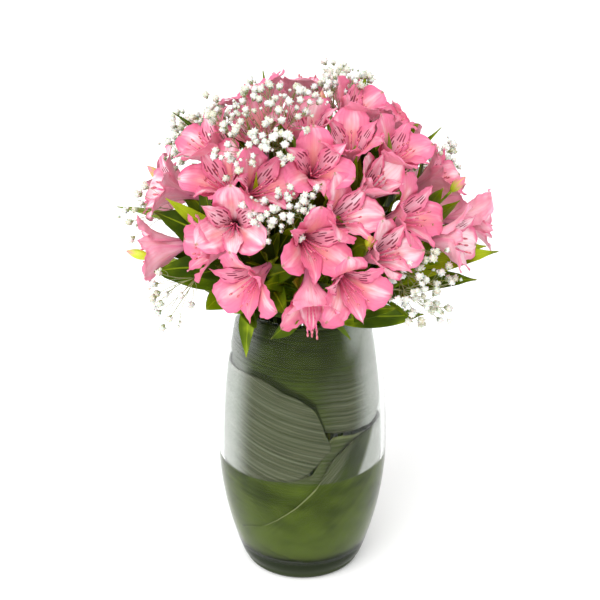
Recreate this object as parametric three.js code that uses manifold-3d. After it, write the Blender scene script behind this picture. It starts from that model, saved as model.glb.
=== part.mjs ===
// A round bouquet of alstroemeria and gypsophila, arranged in a leaf-lined glass vase.
//
// Millimetres, +Z up. The origin is the centre of the face that the vase stands on,
// and -Y is the front. The flowers form a dome about DOME.centre, so a place on it is
// given as [azimuth, height angle, distance]: azimuth 0 is the front, positive to +X.

import * as THREE from 'three';
import { mergeVertices } from 'three/addons/utils/BufferGeometryUtils.js';
import Module from 'manifold-3d';

const wasm = await Module();
wasm.setup();

// ---------------------------------------------------------------- driving dimensions

const VASE = {
  height: 250, footRadius: 50, bellyRadius: 73, bellyHeight: 115, rimRadius: 58,
  wall: 4, base: 14, heel: 5, sides: 24,
  outside: [30, 72, 115, 160, 205], inside: [205, 160, 115, 86, 58, 34, 20],    // heights
};
const LINING = { first: 1.0, next: 2.5, thick: 0.8, step: 15, rows: 2 };
const WATER = { level: 107, inset: 6.6, sides: 16 };
const DOME = { centre: [6, 0, 300] };
const STEM = { radius: 2.4, sides: 5, footShrink: 0.6, bendFrom: 236 };
const PEDICEL = { radius: 1.1, sides: 4, sunk: 0.8 };
const OVARY = { length: 7, top: 2.6 };
const BLOOM = { seat: 30, ring: 3.0, throat: 1.7 };
const OUTER = { length: 52, half: 14.5, tip: 88, cup: 0.16, back: 0.6, at: [0, 0.33, 0.6, 0.86, 1] };
const INNER = { length: 50, half: 8.5, tip: 76, cup: 0.22, back: 0, at: [0, 0.38, 0.7, 1] };
const TEPAL_THICK = 1.3;
const STAMEN = { length: 46, droop: 7 };
const LEAF = { thick: 1.3, highest: 0.95, lowest: 0.1, at: [0, 0.25, 0.62, 1] };
const SPRAY = { radius: 1.3, sides: 4, knot: 3.2, twig: 0.45, head: 2.9 };
const CLEAR = 0.35;    // between a stalk and its bloom, and round a stem in the water
const HOLE = { below: 6, length: 136 };    // of a stem's plain hole in the water
const GAP = { stem: 0.46, bloom: 0.4, spray: 0.34, leaf: 0.28 };    // later pieces keep closer
const RIM_CLEAR = 1.2;
const FINE = 0.06;    // edges shorter than this are merged

const COLOURS = {
  glass: '#cfd8d4', water: '#bcd0c8', lining: '#3f5a28', stem: '#6d9a3a',
  bloom: '#ee8fb0', gypsophila: '#f2f0e6',
};

// Each stem: its place in the vase's mouth, its blooms, its leaves and its buds.
// A bloom is [azimuth, height, distance, facing azimuth, facing height, roll, opening].
// A leaf is [azimuth, height, distance of its tip, half width, turn about its own midrib],
// the first one growing highest. A bud is [azimuth, height, distance].
const STEMS = [
  { mouth: [-33, -20],
    blooms: [[-22, 7, 132, -36, -12, 8, 1.0], [-39, 17, 131, -72, 4, -20, 0.8],
      [-67, 7, 133, -86, -8, 10, 0.8]],
    leaves: [[-43, -46, 110, 9, 0], [-62, 1, 141, 17, 30], [-66, 6, 138, 11, 20]],
    buds: [[-80, 1, 150]] },
  { mouth: [-14, -26],
    blooms: [[-29, 26, 130, -10, 22, 0, 1.0], [-21, 40, 130, 30, 38, 12, 0.95],
      [-45, 40, 130, -42, 52, 0, 0.85]],
    leaves: [[-66, 20, 143, 15, 0], [-63, 26, 142, 8, -20], [-24, 44, 140, 5, 60],
      [-14, 57, 138, 8, 20]],
    buds: [[-15, 51, 138]] },
  { mouth: [3, -40],
    blooms: [[1, 22, 130, 24, 8, -10, 0.95], [0, 2, 130, 4, -42, 0, 0.7],
      [13, 8, 132, 24, -12, 12, 0.95]],
    leaves: [[-6, 10, 134, 8, 70], [69, -26, 112, 10, 0], [-23, -33, 97, 11, 0],
      [24, -34, 97, 11, 10]],
    buds: [] },
  { mouth: [27, -27],
    blooms: [[14, 32, 128, 46, 33, 5, 0.95], [42, 27, 131, 58, 24, 0, 1.0],
      [28, 17, 128, 32, 30, 15, 0.7], [57, 14, 132, 72, 2, 0, 0.8]],
    leaves: [[9, 31, 135, 8, 20], [22, 20, 136, 13, 50], [32, 28, 139, 10, 0],
      [71, 5, 160, 11, 0], [62, -1, 150, 12, -20], [44, -16, 122, 10, 0]],
    buds: [[21, 23, 139]] },
  { mouth: [42, 0],
    blooms: [[79, 13, 139, 86, 4, 30, 0.72], [82, 31, 120, 84, 32, 0, 0.7],
      [112, 12, 123, 118, 6, 0, 0.95]],
    leaves: [[58, 31, 142, 8, 0], [62, 25, 146, 8, 30], [96, -4, 150, 12, 0],
      [128, -6, 140, 12, 0]],
    buds: [[68, 30, 150]] },
  { mouth: [17, -2],
    blooms: [[31, 41, 126, 40, 40, 40, 0.45], [45, 48, 134, 60, 46, 0, 0.9],
      [26, 57, 125, 4, 66, 0, 0.8], [98, 59, 121, 104, 48, 0, 0.95]],
    leaves: [[41, 53, 150, 7, 20], [72, 46, 156, 10, 0], [23, 50, 140, 8, -30],
      [36, 67, 148, 8, 40]],
    buds: [] },
  { mouth: [4, -14],
    blooms: [[3, 49, 130, 3, 38, 0, 1.0], [-4, 67, 128, -20, 80, 0, 0.85],
      [48, 70, 128, 74, 62, 0, 0.66]],
    leaves: [[5, 42, 136, 8, 0], [-12, 60, 136, 10, 10], [15, 78, 140, 7, 0]],
    buds: [[8, 40, 137], [20, 79, 140]] },
  { mouth: [-13, 2],
    blooms: [[-62, 48, 136, -78, 42, 0, 0.8], [-42, 61, 122, -40, 66, 30, 0.75],
      [-88, 71, 134, -116, 60, 0, 1.0], [-170, 80, 127, 170, 72, 0, 0.95]],
    leaves: [[-30, 59, 136, 10, 0], [-43, 60, 145, 6, 30], [-103, 42, 156, 6, 0]],
    buds: [] },
  { mouth: [-42, 3],
    blooms: [[-73, 28, 136, -84, 22, 0, 1.0], [-112, 12, 130, -116, 4, 0, 0.95],
      [-118, 40, 124, -120, 36, 0, 1.0]],
    leaves: [[-88, 12, 162, 8, 20], [-88, -2, 140, 11, 0], [-132, -8, 142, 12, 0],
      [-136, 30, 146, 9, 0]],
    buds: [[-92, 26, 146]] },
  { mouth: [21, 33],
    blooms: [[145, 12, 130, 148, 4, 0, 0.95], [157, 42, 130, 160, 38, 0, 1.0],
      [119, 40, 117, 116, 34, 0, 0.95]],
    leaves: [[128, 22, 146, 10, 0], [158, -8, 142, 12, 0], [138, 40, 146, 9, 0],
      [130, 66, 148, 8, 0]],
    buds: [[160, 24, 146]] },
  { mouth: [-15, 37],
    blooms: [[180, 11, 130, 180, 4, 0, 0.95], [-158, 40, 130, -160, 34, 0, 1.0],
      [-146, 12, 130, -148, 6, 0, 0.95]],
    leaves: [[-162, 0, 146, 11, 0], [-176, 24, 148, 9, 0], [-142, 26, 146, 9, 0],
      [-146, 62, 148, 8, 0]],
    buds: [] },
];

// Each spray: its place in the mouth and its fans. A fan is the direction in which it
// opens, its half spread in degrees, the distances of its fork and of its flower heads,
// and how many heads it has.
const SPRAYS = [
  { mouth: [-23, -10], fans: [[-31, 60, 17, 112, 154, 12], [-62, 52, 11, 112, 146, 5]] },
  { mouth: [8, 12], fans: [[60, 75, 13, 114, 145, 9], [160, 60, 10, 112, 146, 4]] },
  { mouth: [-38, -9], fans: [[-75, 20, 12, 112, 150, 8], [-57, -3, 15, 108, 146, 7]] },
  { mouth: [-4, -28], fans: [[-10, 34, 9, 112, 140, 10]] },
  { mouth: [16, -36], fans: [[36, 10, 11, 108, 140, 8], [42, -4, 12, 108, 138, 6]] },
  { mouth: [34, 18], fans: [[108, 32, 11, 108, 132, 5], [130, 6, 10, 112, 146, 5]] },
  { mouth: [-30, 22], fans: [[-132, 26, 11, 112, 148, 6], [-95, 40, 10, 112, 141, 5]] },
];

// ---------------------------------------------------------------- small helpers

const vector = (x, y, z) => new THREE.Vector3(x, y, z);
const radians = THREE.MathUtils.degToRad;
const smooth = (a, b, x) => THREE.MathUtils.smoothstep(x, a, b);
const CENTRE = vector(...DOME.centre);

// The unit vector at an azimuth and a height angle.
function direction(azimuth, height) {
  const a = radians(azimuth);
  const h = radians(height);
  return vector(Math.sin(a) * Math.cos(h), -Math.cos(a) * Math.cos(h), Math.sin(h));
}

const onDome = (azimuth, height, distance) =>
  direction(azimuth, height).multiplyScalar(distance).add(CENTRE);

// Repeatable random numbers from 0 to 1.
function randomFrom(seed) {
  let state = seed;
  return () => {
    state = (state * 16807) % 2147483647;
    return state / 2147483647;
  };
}

// A closed geometry as a solid: only its corners' places are kept, and they are merged.
function solidOf(geometry, within = 1e-4) {
  const bare = geometry.clone();
  bare.deleteAttribute('normal');
  bare.deleteAttribute('uv');
  const merged = mergeVertices(bare, within);
  const mesh = new wasm.Mesh({
    numProp: 3,
    vertProperties: Float32Array.from(merged.attributes.position.array),
    triVerts: Uint32Array.from(merged.index.array),
  });
  return new wasm.Manifold(mesh);
}

function geometryOf(solid) {
  const mesh = solid.getMesh();
  const geometry = new THREE.BufferGeometry();
  geometry.setAttribute('position', new THREE.Float32BufferAttribute(mesh.vertProperties, 3));
  geometry.setIndex([...mesh.triVerts]);
  geometry.computeVertexNormals();
  return geometry;
}

// Triangles given as corner points, as a geometry.
function geometryFrom(triangles) {
  const geometry = new THREE.BufferGeometry();
  const points = triangles.filter(([a, b, c]) => a !== b && b !== c && c !== a).flat();
  geometry.setFromPoints(points);
  return mergeVertices(geometry, 1e-4);
}

// The largest of a solid's separate bodies.
function largest(solid) {
  const bodies = solid.decompose();
  return bodies.reduce((best, body) => (body.volume() > best.volume() ? body : best));
}

// A solid grown by a distance: each corner moves out along the mean of its faces.
function grown(solid, distance) {
  const geometry = geometryOf(solid);
  const places = geometry.attributes.position;
  const normals = geometry.attributes.normal;
  for (let i = 0; i < places.count; i += 1) {
    places.setXYZ(i,
      places.getX(i) + normals.getX(i) * distance,
      places.getY(i) + normals.getY(i) * distance,
      places.getZ(i) + normals.getZ(i) * distance);
  }
  return solidOf(geometry);
}

const boxOf = (solid) => {
  const { min, max } = solid.boundingBox();
  return new THREE.Box3(vector(...min), vector(...max));
};

// A solid cut clear of the others that come near it.
function trimmed(solid, others) {
  const box = boxOf(solid);
  const near = others.filter((other) => other.box.intersectsBox(box));
  let rest = solid;
  for (const { cutter, body } of near) {
    if (rest.intersect(cutter).isEmpty()) continue;
    rest = rest.subtract(cutter);
    if (!rest.intersect(body).isEmpty()) rest = rest.subtract(body);
  }
  return rest;
}

const clearOf = (solid, others) => largest(trimmed(solid, others));

// The first variant of a piece that is clear of the others, or else the one that costs
// fewest faces to cut clear.
function fitted(variants, others) {
  let best = null;
  for (const make of variants) {
    const raw = make();
    const cut = clearOf(raw, others);
    const whole = cut.volume() > 0.9 * raw.volume();
    const cost = (cut.numTri() - raw.numTri()) + (whole ? 0 : 1000);
    if (!best || cost < best.cost) best = { raw, cost };
    if (cut.numTri() === raw.numTri()) break;
  }
  return best.raw;
}

const obstacle = (solid, gap) => {
  const cutter = grown(solid, gap);
  return { body: solid, cutter, box: boxOf(cutter) };
};

// A straight-sided section of a rod.
function section(radius, sides) {
  const shape = new THREE.Shape();
  for (let i = 0; i < sides; i += 1) {
    const angle = (i / sides) * 2 * Math.PI;
    shape[i ? 'lineTo' : 'moveTo'](radius * Math.cos(angle), radius * Math.sin(angle));
  }
  return shape;
}

// A rod through points, with one ring of corners at each of them.
function rodGeometry(points, radius, sides) {
  const line = new THREE.CatmullRomCurve3(points);
  line.getPointAt = line.getPoint;
  line.getTangentAt = line.getTangent;
  const settings = { steps: points.length - 1, bevelEnabled: false, extrudePath: line };
  return new THREE.ExtrudeGeometry(section(radius, sides), settings);
}

const rod = (points, radius, sides) => solidOf(rodGeometry(points, radius, sides));

// A blade through stations, each with its middle, half width, side and face directions.
// Its section is a flat lozenge, and it ends in a point at the last station. The quads of
// both faces are cut along the same diagonals, so that a twisted blade keeps its thickness.
function bladeTriangles(stations, thick, closeRoot) {
  const rings = stations.map((s) => {
    const lift = s.face.clone().multiplyScalar(s.cup);
    return {
      left: s.left ?? s.middle.clone().addScaledVector(s.side, -s.half).add(lift),
      right: s.right ?? s.middle.clone().addScaledVector(s.side, s.half).add(lift),
      top: s.top ?? s.middle.clone().addScaledVector(s.face, thick / 2),
      under: s.under ?? s.middle.clone().addScaledVector(s.face, -thick / 2),
    };
  });
  const triangles = [];
  const quad = (a, b, c, d) => triangles.push([a, b, c], [a, c, d]);
  const last = rings.length - 1;
  const tip = stations[last].middle;
  for (let i = 0; i < last - 1; i += 1) {
    const a = rings[i];
    const b = rings[i + 1];
    quad(a.left, a.top, b.top, b.left);
    quad(a.top, a.right, b.right, b.top);
    quad(a.under, b.under, b.right, a.right);
    quad(a.left, b.left, b.under, a.under);
  }
  const end = rings[last - 1];
  triangles.push([end.left, end.top, tip], [end.top, end.right, tip],
    [end.right, end.under, tip], [end.under, end.left, tip]);
  if (closeRoot) {
    const root = rings[0];
    quad(root.left, root.under, root.right, root.top);
  }
  return triangles;
}

// ---------------------------------------------------------------- vase, lining and water

// The vase's outer radius at a height: one parabola below the belly and one above it.
function outerRadius(z) {
  const { bellyHeight, bellyRadius, footRadius, rimRadius, height } = VASE;
  const below = z < bellyHeight;
  const far = below ? (bellyHeight - z) / bellyHeight : (z - bellyHeight) / (height - bellyHeight);
  const drop = bellyRadius - (below ? footRadius : rimRadius);
  return bellyRadius - drop * far * far;
}

const innerRadius = (z) => outerRadius(z) - VASE.wall;

// A closed ring or solid of revolution from its half outline.
function turned(outline, sides) {
  return solidOf(new THREE.LatheGeometry(outline.map(([r, z]) => new THREE.Vector2(r, z)), sides)
    .rotateX(Math.PI / 2));
}

function makeVase() {
  const { height, wall, base, heel } = VASE;
  const outline = [[0, 0], [VASE.footRadius - heel, 0], [VASE.footRadius, heel * 0.7]];
  for (const z of VASE.outside) outline.push([outerRadius(z), z]);
  outline.push([outerRadius(height), height - wall / 2], [outerRadius(height) - wall / 2, height],
    [innerRadius(height), height - wall / 2]);
  for (const z of VASE.inside) outline.push([innerRadius(z), z]);
  outline.push([innerRadius(base) - heel, base], [0, base]);
  return turned(outline, VASE.sides);
}

// A leaf that lines the glass: a sheet between two heights at each azimuth.
function makeLining({ layer, from, to, bottom, top }) {
  const inset = LINING.first + layer * LINING.next;
  const columns = Math.round((to - from) / LINING.step);
  const at = (i, j, depth) => {
    const azimuth = from + ((to - from) * i) / columns;
    const z = bottom(azimuth) + ((top(azimuth) - bottom(azimuth)) * j) / LINING.rows;
    const radius = innerRadius(z) - inset - depth;
    return direction(azimuth, 0).multiplyScalar(radius).setZ(z);
  };
  const grid = [0, LINING.thick].map((depth) => Array.from({ length: columns + 1 },
    (_, i) => Array.from({ length: LINING.rows + 1 }, (__, j) => at(i, j, depth))));
  const triangles = [];
  const quad = (a, b, c, d) => triangles.push([a, b, c], [a, c, d]);
  const [face, back] = grid;
  const rows = LINING.rows;
  for (let i = 0; i < columns; i += 1) {
    for (let j = 0; j < rows; j += 1) {
      quad(face[i][j], face[i + 1][j], face[i + 1][j + 1], face[i][j + 1]);
      quad(back[i][j], back[i][j + 1], back[i + 1][j + 1], back[i + 1][j]);
    }
    quad(face[i][0], back[i][0], back[i + 1][0], face[i + 1][0]);
    quad(face[i][rows], face[i + 1][rows], back[i + 1][rows], back[i][rows]);
  }
  for (let j = 0; j < rows; j += 1) {
    quad(face[0][j], face[0][j + 1], back[0][j + 1], back[0][j]);
    quad(face[columns][j], back[columns][j], back[columns][j + 1], face[columns][j + 1]);
  }
  return solidOf(geometryFrom(triangles));
}

const mix = (a, b, t) => a + (b - a) * t;
// Straight stretches between [azimuth, height] corners.
const edge = (...corners) => (azimuth) => {
  const next = corners.findIndex(([a]) => a >= azimuth);
  if (next <= 0) return corners[next ? corners.length - 1 : 0][1];
  const [a0, z0] = corners[next - 1];
  const [a1, z1] = corners[next];
  return mix(z0, z1, (azimuth - a0) / (a1 - a0));
};

const LINING_LEAVES = {
  lining_leaf_upper: {
    layer: 1, from: -179.4, to: 179.4,
    bottom: edge([-180, 158], [-60, 172], [0, 160], [20, 153], [60, 147], [180, 158]),
    top: () => 246,
  },
  lining_leaf_middle: {
    layer: 0, from: -200, to: 20,
    bottom: edge([-200, 128], [-170, 106], [-60, 103], [0, 112], [20, 139]),
    top: edge([-200, 150], [-170, 190], [-60, 199], [-30, 199], [0, 184], [10, 175],
      [20, 141]),
  },
  lining_leaf_lower_right: {
    layer: 0, from: -60, to: 150,
    bottom: edge([-60, 43], [-30, 32], [0, 21], [150, 21]),
    top: edge([-60, 45], [-30, 60], [-8, 80], [10, 104], [22, 130], [45, 146], [75, 146],
      [150, 120]),
  },
  lining_leaf_lower_left: {
    layer: 1, from: -225, to: 60,
    bottom: () => 21,
    top: edge([-225, 118], [-150, 126], [-60, 122], [8, 114], [20, 149], [60, 143]),
  },
};

function makeWater(stemShafts) {
  const radius = (z) => innerRadius(z) - WATER.inset;
  const floor = VASE.base + CLEAR;
  const outline = [[0, floor], [radius(floor) - 3, floor], [radius(30), 30], [radius(65), 65],
    [radius(WATER.level), WATER.level], [0, WATER.level]];
  let water = turned(outline, WATER.sides);
  for (const shaft of stemShafts) water = water.subtract(shaft);
  return water;
}

// ---------------------------------------------------------------- stems

// A stem stands on the vase's floor, leans out a little, and bends out above the rim.
const footOf = ([x, y]) => vector(x * STEM.footShrink, y * STEM.footShrink, VASE.base + CLEAR);
const collarOf = ([x, y]) => vector(x, y, STEM.bendFrom);

// Points of a cubic curve that leaves one point along one direction and reaches
// another along a second direction.
function bend(start, leaving, end, arriving, steps, pull = 0.38) {
  const reach = start.distanceTo(end) * pull;
  const curve = new THREE.CubicBezierCurve3(start,
    start.clone().addScaledVector(leaving, reach),
    end.clone().addScaledVector(arriving, -reach), end);
  return curve.getPoints(steps);
}

const stemLean = (mouth) => collarOf(mouth).sub(footOf(mouth)).normalize();

function stemPoints(mouth, top, steps) {
  const outward = top.clone().sub(vector(0, 0, 200)).normalize();
  return [footOf(mouth), ...bend(collarOf(mouth), stemLean(mouth), top, outward, steps)];
}

// ---------------------------------------------------------------- blooms

// The frame of a bloom: its axis points out of its mouth, and its up stays uppermost
// before the roll. The origin is the seat, where the tepals join the ovary.
function bloomFrame([azimuth, height, distance, faceAzimuth, faceHeight, roll]) {
  const axis = direction(faceAzimuth, faceHeight);
  const side = direction(faceAzimuth + 90, 0);
  const up = axis.clone().cross(side);
  const seat = onDome(azimuth, height, distance).addScaledVector(axis, -BLOOM.seat);
  const turn = new THREE.Matrix4().makeRotationZ(radians(roll));
  return new THREE.Matrix4().makeBasis(side, up, axis).setPosition(seat).multiply(turn);
}

// A tepal's midrib leaves along the axis and curls out: its angle from the axis grows
// with the 1.6th power of the share of its length.
function tepalStations(kind, around, opening) {
  const outward = vector(Math.cos(around), Math.sin(around), 0);
  const side = vector(Math.sin(around), -Math.cos(around), 0);
  const axis = vector(0, 0, 1);
  const steps = 50;
  const middle = outward.clone().multiplyScalar(BLOOM.ring - 0.5);
  const stations = [];
  for (let i = 0; i <= steps; i += 1) {
    const share = i / steps;
    const angle = radians(8 + (kind.tip * opening - 8) * share ** 1.6);
    const [sin, cos] = [Math.sin(angle), Math.cos(angle)];
    const along = outward.clone().multiplyScalar(sin).addScaledVector(axis, cos);
    const face = axis.clone().multiplyScalar(sin).addScaledVector(outward, -cos);
    if (i) middle.addScaledVector(along, kind.length / steps);
    if (kind.at.some((at) => Math.abs(at - share) < 0.5 / steps)) {
      const half = kind.half * tepalWidth(kind, share);
      const place = middle.clone().addScaledVector(face, -kind.back * smooth(0, 0.3, share));
      stations.push({ middle: place, side, face, half, cup: half * kind.cup });
    }
  }
  return stations;
}

// A tepal is narrow in its claw, broad past its middle, and blunt or pointed at its tip.
function tepalWidth(kind, share) {
  if (kind === OUTER) {
    const end = Math.max(0, (share - 0.68) / 0.32);
    return (0.12 + 0.88 * smooth(0.12, 0.66, share)) * Math.sqrt(Math.max(0, 1 - end ** 2.6));
  }
  const end = Math.max(0, (share - 0.6) / 0.4);
  return (0.18 + 0.82 * smooth(0.1, 0.62, share)) * (1 - end ** 1.7);
}

function makeBloom(bloom) {
  const opening = bloom[6];
  const ring = (angle, radius, z) => vector(radius * Math.cos(angle), radius * Math.sin(angle), z);
  const around = (k) => radians(90 + 60 * k);
  const seams = [0, 1, 2, 3, 4, 5].map((k) => ring(around(k + 0.5), BLOOM.ring - 0.3, 0));
  const unders = [0, 1, 2, 3, 4, 5].map((k) => ring(around(k), BLOOM.ring, 0));
  const tops = [0, 1, 2, 3, 4, 5].map((k) => ring(around(k), BLOOM.throat, 0.8));
  const bottom = vector(0, 0, 0);
  const throat = vector(0, 0, 0.8);
  const triangles = [];
  for (let k = 0; k < 6; k += 1) {
    const right = seams[(k + 5) % 6];
    const left = seams[k];
    const kind = k % 2 ? INNER : OUTER;
    const stations = tepalStations(kind, around(k), opening);
    Object.assign(stations[0], { left, right, top: tops[k], under: unders[k] });
    triangles.push(...bladeTriangles(stations, TEPAL_THICK, false));
    triangles.push([unders[k], right, bottom], [left, unders[k], bottom]);
    triangles.push([throat, tops[k], left]);
    triangles.push(...stamenTriangles(throat, right, tops[k], around(k), opening));
  }
  return solidOf(geometryFrom(triangles).applyMatrix4(bloomFrame(bloom)));
}

// A crowded bloom may sit a little higher or lower, or open a little less.
function bloomVariants(bloom) {
  const variants = [];
  for (const opening of [1, 0.93, 0.86]) {
    for (const [aside, up] of [[0, 0], [7, 0], [-7, 0], [0, 7], [0, -7]]) {
      for (const shift of [0, 3, -3, 6, -6]) {
        const moved = [...bloom];
        moved[2] += shift;
        moved[3] += aside;
        moved[4] += up;
        moved[6] *= opening;
        variants.push(() => makeBloom(moved));
      }
    }
  }
  return variants;
}

// A stamen: a slim three-sided spike from a root in the throat. All six droop.
function stamenTriangles(a, b, c, around, opening) {
  const spread = 5 + 6 * opening;
  const droop = STAMEN.droop * opening;
  const tip = vector(spread * Math.cos(around), spread * 0.7 * Math.sin(around) - droop,
    STAMEN.length);
  return [[a, b, tip], [b, c, tip], [c, a, tip]];
}

// ---------------------------------------------------------------- alstroemeria stems

// The seats of a stem's blooms, and where their stalks part from it.
function stemPlan(stem) {
  const frames = stem.blooms.map(bloomFrame);
  const seats = frames.map((frame) => vector(0, 0, 0).applyMatrix4(frame));
  const axes = frames.map((frame) => vector(0, 0, 1).transformDirection(frame));
  const mean = seats.reduce((sum, seat) => sum.add(seat), vector(0, 0, 0)).divideScalar(seats.length);
  const top = collarOf(stem.mouth).lerp(mean, 0.52);
  return { seats, axes, top, points: stemPoints(stem.mouth, top, 3) };
}

// Where a branch starts inside its stem: a little back from the stem's end, and towards
// the side that the branch leaves on.
function branchRoot(top, leaving, target, aside) {
  const away = target.clone().sub(top);
  away.addScaledVector(leaving, -away.dot(leaving)).setLength(aside);
  return top.clone().addScaledVector(leaving, -PEDICEL.sunk).add(away);
}

// A flower stalk: a rod from the parting, whose last stretch swells into the ovary that
// carries the bloom.
function makeStalk(top, leaving, seat, axis) {
  const ovaryTop = seat.clone().addScaledVector(axis, -CLEAR);
  const ovaryFoot = ovaryTop.clone().addScaledVector(axis, -OVARY.length);
  const start = branchRoot(top, leaving, seat, STEM.radius - PEDICEL.radius);
  const points = [...bend(start, leaving, ovaryFoot, axis, 2, 0.3), ovaryTop];
  const stalk = rodGeometry(points, PEDICEL.radius, PEDICEL.sides);
  const places = stalk.attributes.position;
  const place = vector(0, 0, 0);
  for (let i = 0; i < places.count; i += 1) {
    place.fromBufferAttribute(places, i);
    const along = place.clone().sub(ovaryFoot).dot(axis);
    if (along > OVARY.length / 2 && place.distanceTo(ovaryTop) < OVARY.length) {
      const middle = ovaryFoot.clone().addScaledVector(axis, along);
      place.sub(middle).multiplyScalar(OVARY.top / PEDICEL.radius).add(middle);
      places.setXYZ(i, ...place.toArray());
    }
  }
  return solidOf(stalk);
}

// A closed bud: a spindle on a stalk of its own.
function makeBud(top, leaving, place) {
  const axis = place.clone().sub(top).normalize();
  const foot = place.clone().addScaledVector(axis, -20);
  const start = branchRoot(top, leaving, place, STEM.radius - PEDICEL.radius);
  const stalk = rod(bend(start, leaving, foot.clone().addScaledVector(axis, 2), axis, 2, 0.3),
    PEDICEL.radius, PEDICEL.sides);
  const outline = [[0, 0], [2.4, 4], [4, 12], [0, 22]].map(([r, z]) => new THREE.Vector2(r, z));
  const bud = new THREE.LatheGeometry(outline, 5)
    .applyQuaternion(new THREE.Quaternion().setFromUnitVectors(vector(0, 1, 0), axis))
    .translate(...foot.toArray());
  return stalk.add(solidOf(bud));
}

// A leaf leaves its stem along the stem, bends to its tip, and is broadest in the middle.
function makeLeaf(points, share, [azimuth, height, distance, half, turn], sideways, pull) {
  const line = new THREE.CatmullRomCurve3(points.slice(1));
  const root = line.getPoint(share);
  const leaving = line.getTangent(share);
  const tip = onDome(azimuth, height, distance);
  const reach = root.distanceTo(tip);
  const chord = tip.clone().sub(root).normalize();
  const sweep = leaving.clone().cross(chord).setLength(reach * sideways);
  const curve = new THREE.QuadraticBezierCurve3(root,
    root.clone().addScaledVector(leaving, reach * pull).addScaledVector(chord, reach * 0.3).add(sweep),
    tip);
  const outward = root.clone().lerp(tip, 0.6).sub(CENTRE).add(vector(0, 0, reach * 0.6));
  const across = chord.clone().cross(outward).normalize();
  const stations = LEAF.at.map((at) => {
    const middle = curve.getPoint(at);
    const along = curve.getTangent(at);
    const side = across.clone().applyAxisAngle(chord, radians(turn * at));
    const face = side.clone().cross(along).normalize();
    const width = half * Math.max(0.14, Math.sin(Math.PI * at ** 1.15) ** 0.8);
    return { middle, side, face, half: width, cup: width * 0.25 };
  });
  return solidOf(geometryFrom(bladeTriangles(stations, LEAF.thick, true)));
}

// A leaf bends aside, or more or less steeply, past what stands in its way.
function leafVariants(points, share, leaf) {
  const variants = [];
  for (const turn of [0, 25, -25]) {
    for (const pull of [0.2, 0.1, 0.3, 0.4]) {
      for (const sideways of [0, 0.12, -0.12, 0.24, -0.24]) {
        const turned = [...leaf.slice(0, 4), leaf[4] + turn];
        variants.push(() => makeLeaf(points, share, turned, sideways, pull));
      }
    }
  }
  return variants;
}

// ---------------------------------------------------------------- gypsophila

// A twig with its flower head: both three-sided, the head a small faceted ball.
function twigTriangles(start, end) {
  const axis = end.clone().sub(start).normalize();
  const a = axis.clone().cross(Math.abs(axis.z) < 0.9 ? vector(0, 0, 1) : vector(1, 0, 0)).normalize();
  const b = axis.clone().cross(a);
  const ring = (along, radius, phase) => [0, 1, 2].map((i) => {
    const angle = radians(120 * i + phase);
    return start.clone().addScaledVector(axis, along)
      .addScaledVector(a, radius * Math.cos(angle)).addScaledVector(b, radius * Math.sin(angle));
  });
  const length = start.distanceTo(end);
  const r = SPRAY.head;
  const rings = [ring(0, SPRAY.twig, 0), ring(length - r, SPRAY.twig, 0),
    ring(length - r * 0.35, r, 0), ring(length + r * 0.5, r * 0.85, 60)];
  const triangles = [[rings[0][2], rings[0][1], rings[0][0]], rings[3]];
  for (let i = 0; i < 3; i += 1) {
    const [p, q] = [rings[i], rings[i + 1]];
    for (let j = 0; j < 3; j += 1) {
      const k = (j + 1) % 3;
      triangles.push([p[j], p[k], q[j]], [p[k], q[k], q[j]]);
    }
  }
  return triangles;
}

// Directions spread evenly over a fan, the first in its middle.
function fanDirections([azimuth, height, spread, , , count], random) {
  const axis = direction(azimuth, height);
  const side = direction(azimuth + 90, 0);
  const up = side.clone().cross(axis);
  return Array.from({ length: count }, (_, i) => {
    const angle = i * 2.39996 + random() * 0.4;
    const away = radians(spread) * Math.sqrt((i + 0.3) / count);
    return axis.clone().addScaledVector(side, Math.tan(away) * Math.cos(angle))
      .addScaledVector(up, Math.tan(away) * Math.sin(angle)).normalize();
  });
}

function makeSprayStem(spray) {
  const forks = spray.fans.map(([azimuth, height, , fork]) => onDome(azimuth, height, fork));
  const mean = forks.reduce((sum, fork) => sum.add(fork), vector(0, 0, 0)).divideScalar(forks.length);
  const top = collarOf(spray.mouth).lerp(mean, 0.5);
  const points = stemPoints(spray.mouth, top, 3);
  const leaving = points.at(-1).clone().sub(points.at(-2)).normalize();
  let solid = rod(points, SPRAY.radius, SPRAY.sides);
  for (const fork of forks) {
    const arriving = fork.clone().sub(CENTRE).normalize();
    const start = branchRoot(top, leaving, fork, SPRAY.radius * 0.5);
    solid = solid.add(rod(bend(start, leaving, fork, arriving, 2, 0.3), SPRAY.radius * 0.7, 3))
      .add(solidOf(new THREE.OctahedronGeometry(SPRAY.knot).translate(...fork.toArray())));
  }
  return { solid, forks };
}

// The heads of a spray, each on a twig from its fork, save those that the blooms leave
// no room for.
function makeSprayHeads(spray, forks, blooms, seed) {
  const random = randomFrom(seed);
  const heads = [];
  spray.fans.forEach((fan, f) => {
    for (const away of fanDirections(fan, random)) {
      const distance = fan[4] + 10 * (random() - 0.6);
      const end = away.multiplyScalar(distance).add(CENTRE);
      const start = forks[f].clone().lerp(end, SPRAY.knot * 0.45 / forks[f].distanceTo(end));
      const solid = solidOf(geometryFrom(twigTriangles(start, end)));
      const box = boxOf(solid);
      const blocked = blooms.some((bloom) => bloom.box.intersectsBox(box)
        && !solid.intersect(bloom.cutter).isEmpty());
      if (!blocked) heads.push(solid);
    }
  });
  return heads;
}

// ---------------------------------------------------------------- assembly

const model = new THREE.Group();

// Merging a solid's close corners may part a sliver or a pocket from it, so the largest
// body is taken again until it stays whole.
function settled(solid) {
  let body = largest(solid);
  for (let i = 0; i < 8; i += 1) {
    const merged = solidOf(geometryOf(body), 1e-3);
    if (merged.decompose().length === 1) return merged;
    body = largest(merged);
  }
  return body;
}

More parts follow.
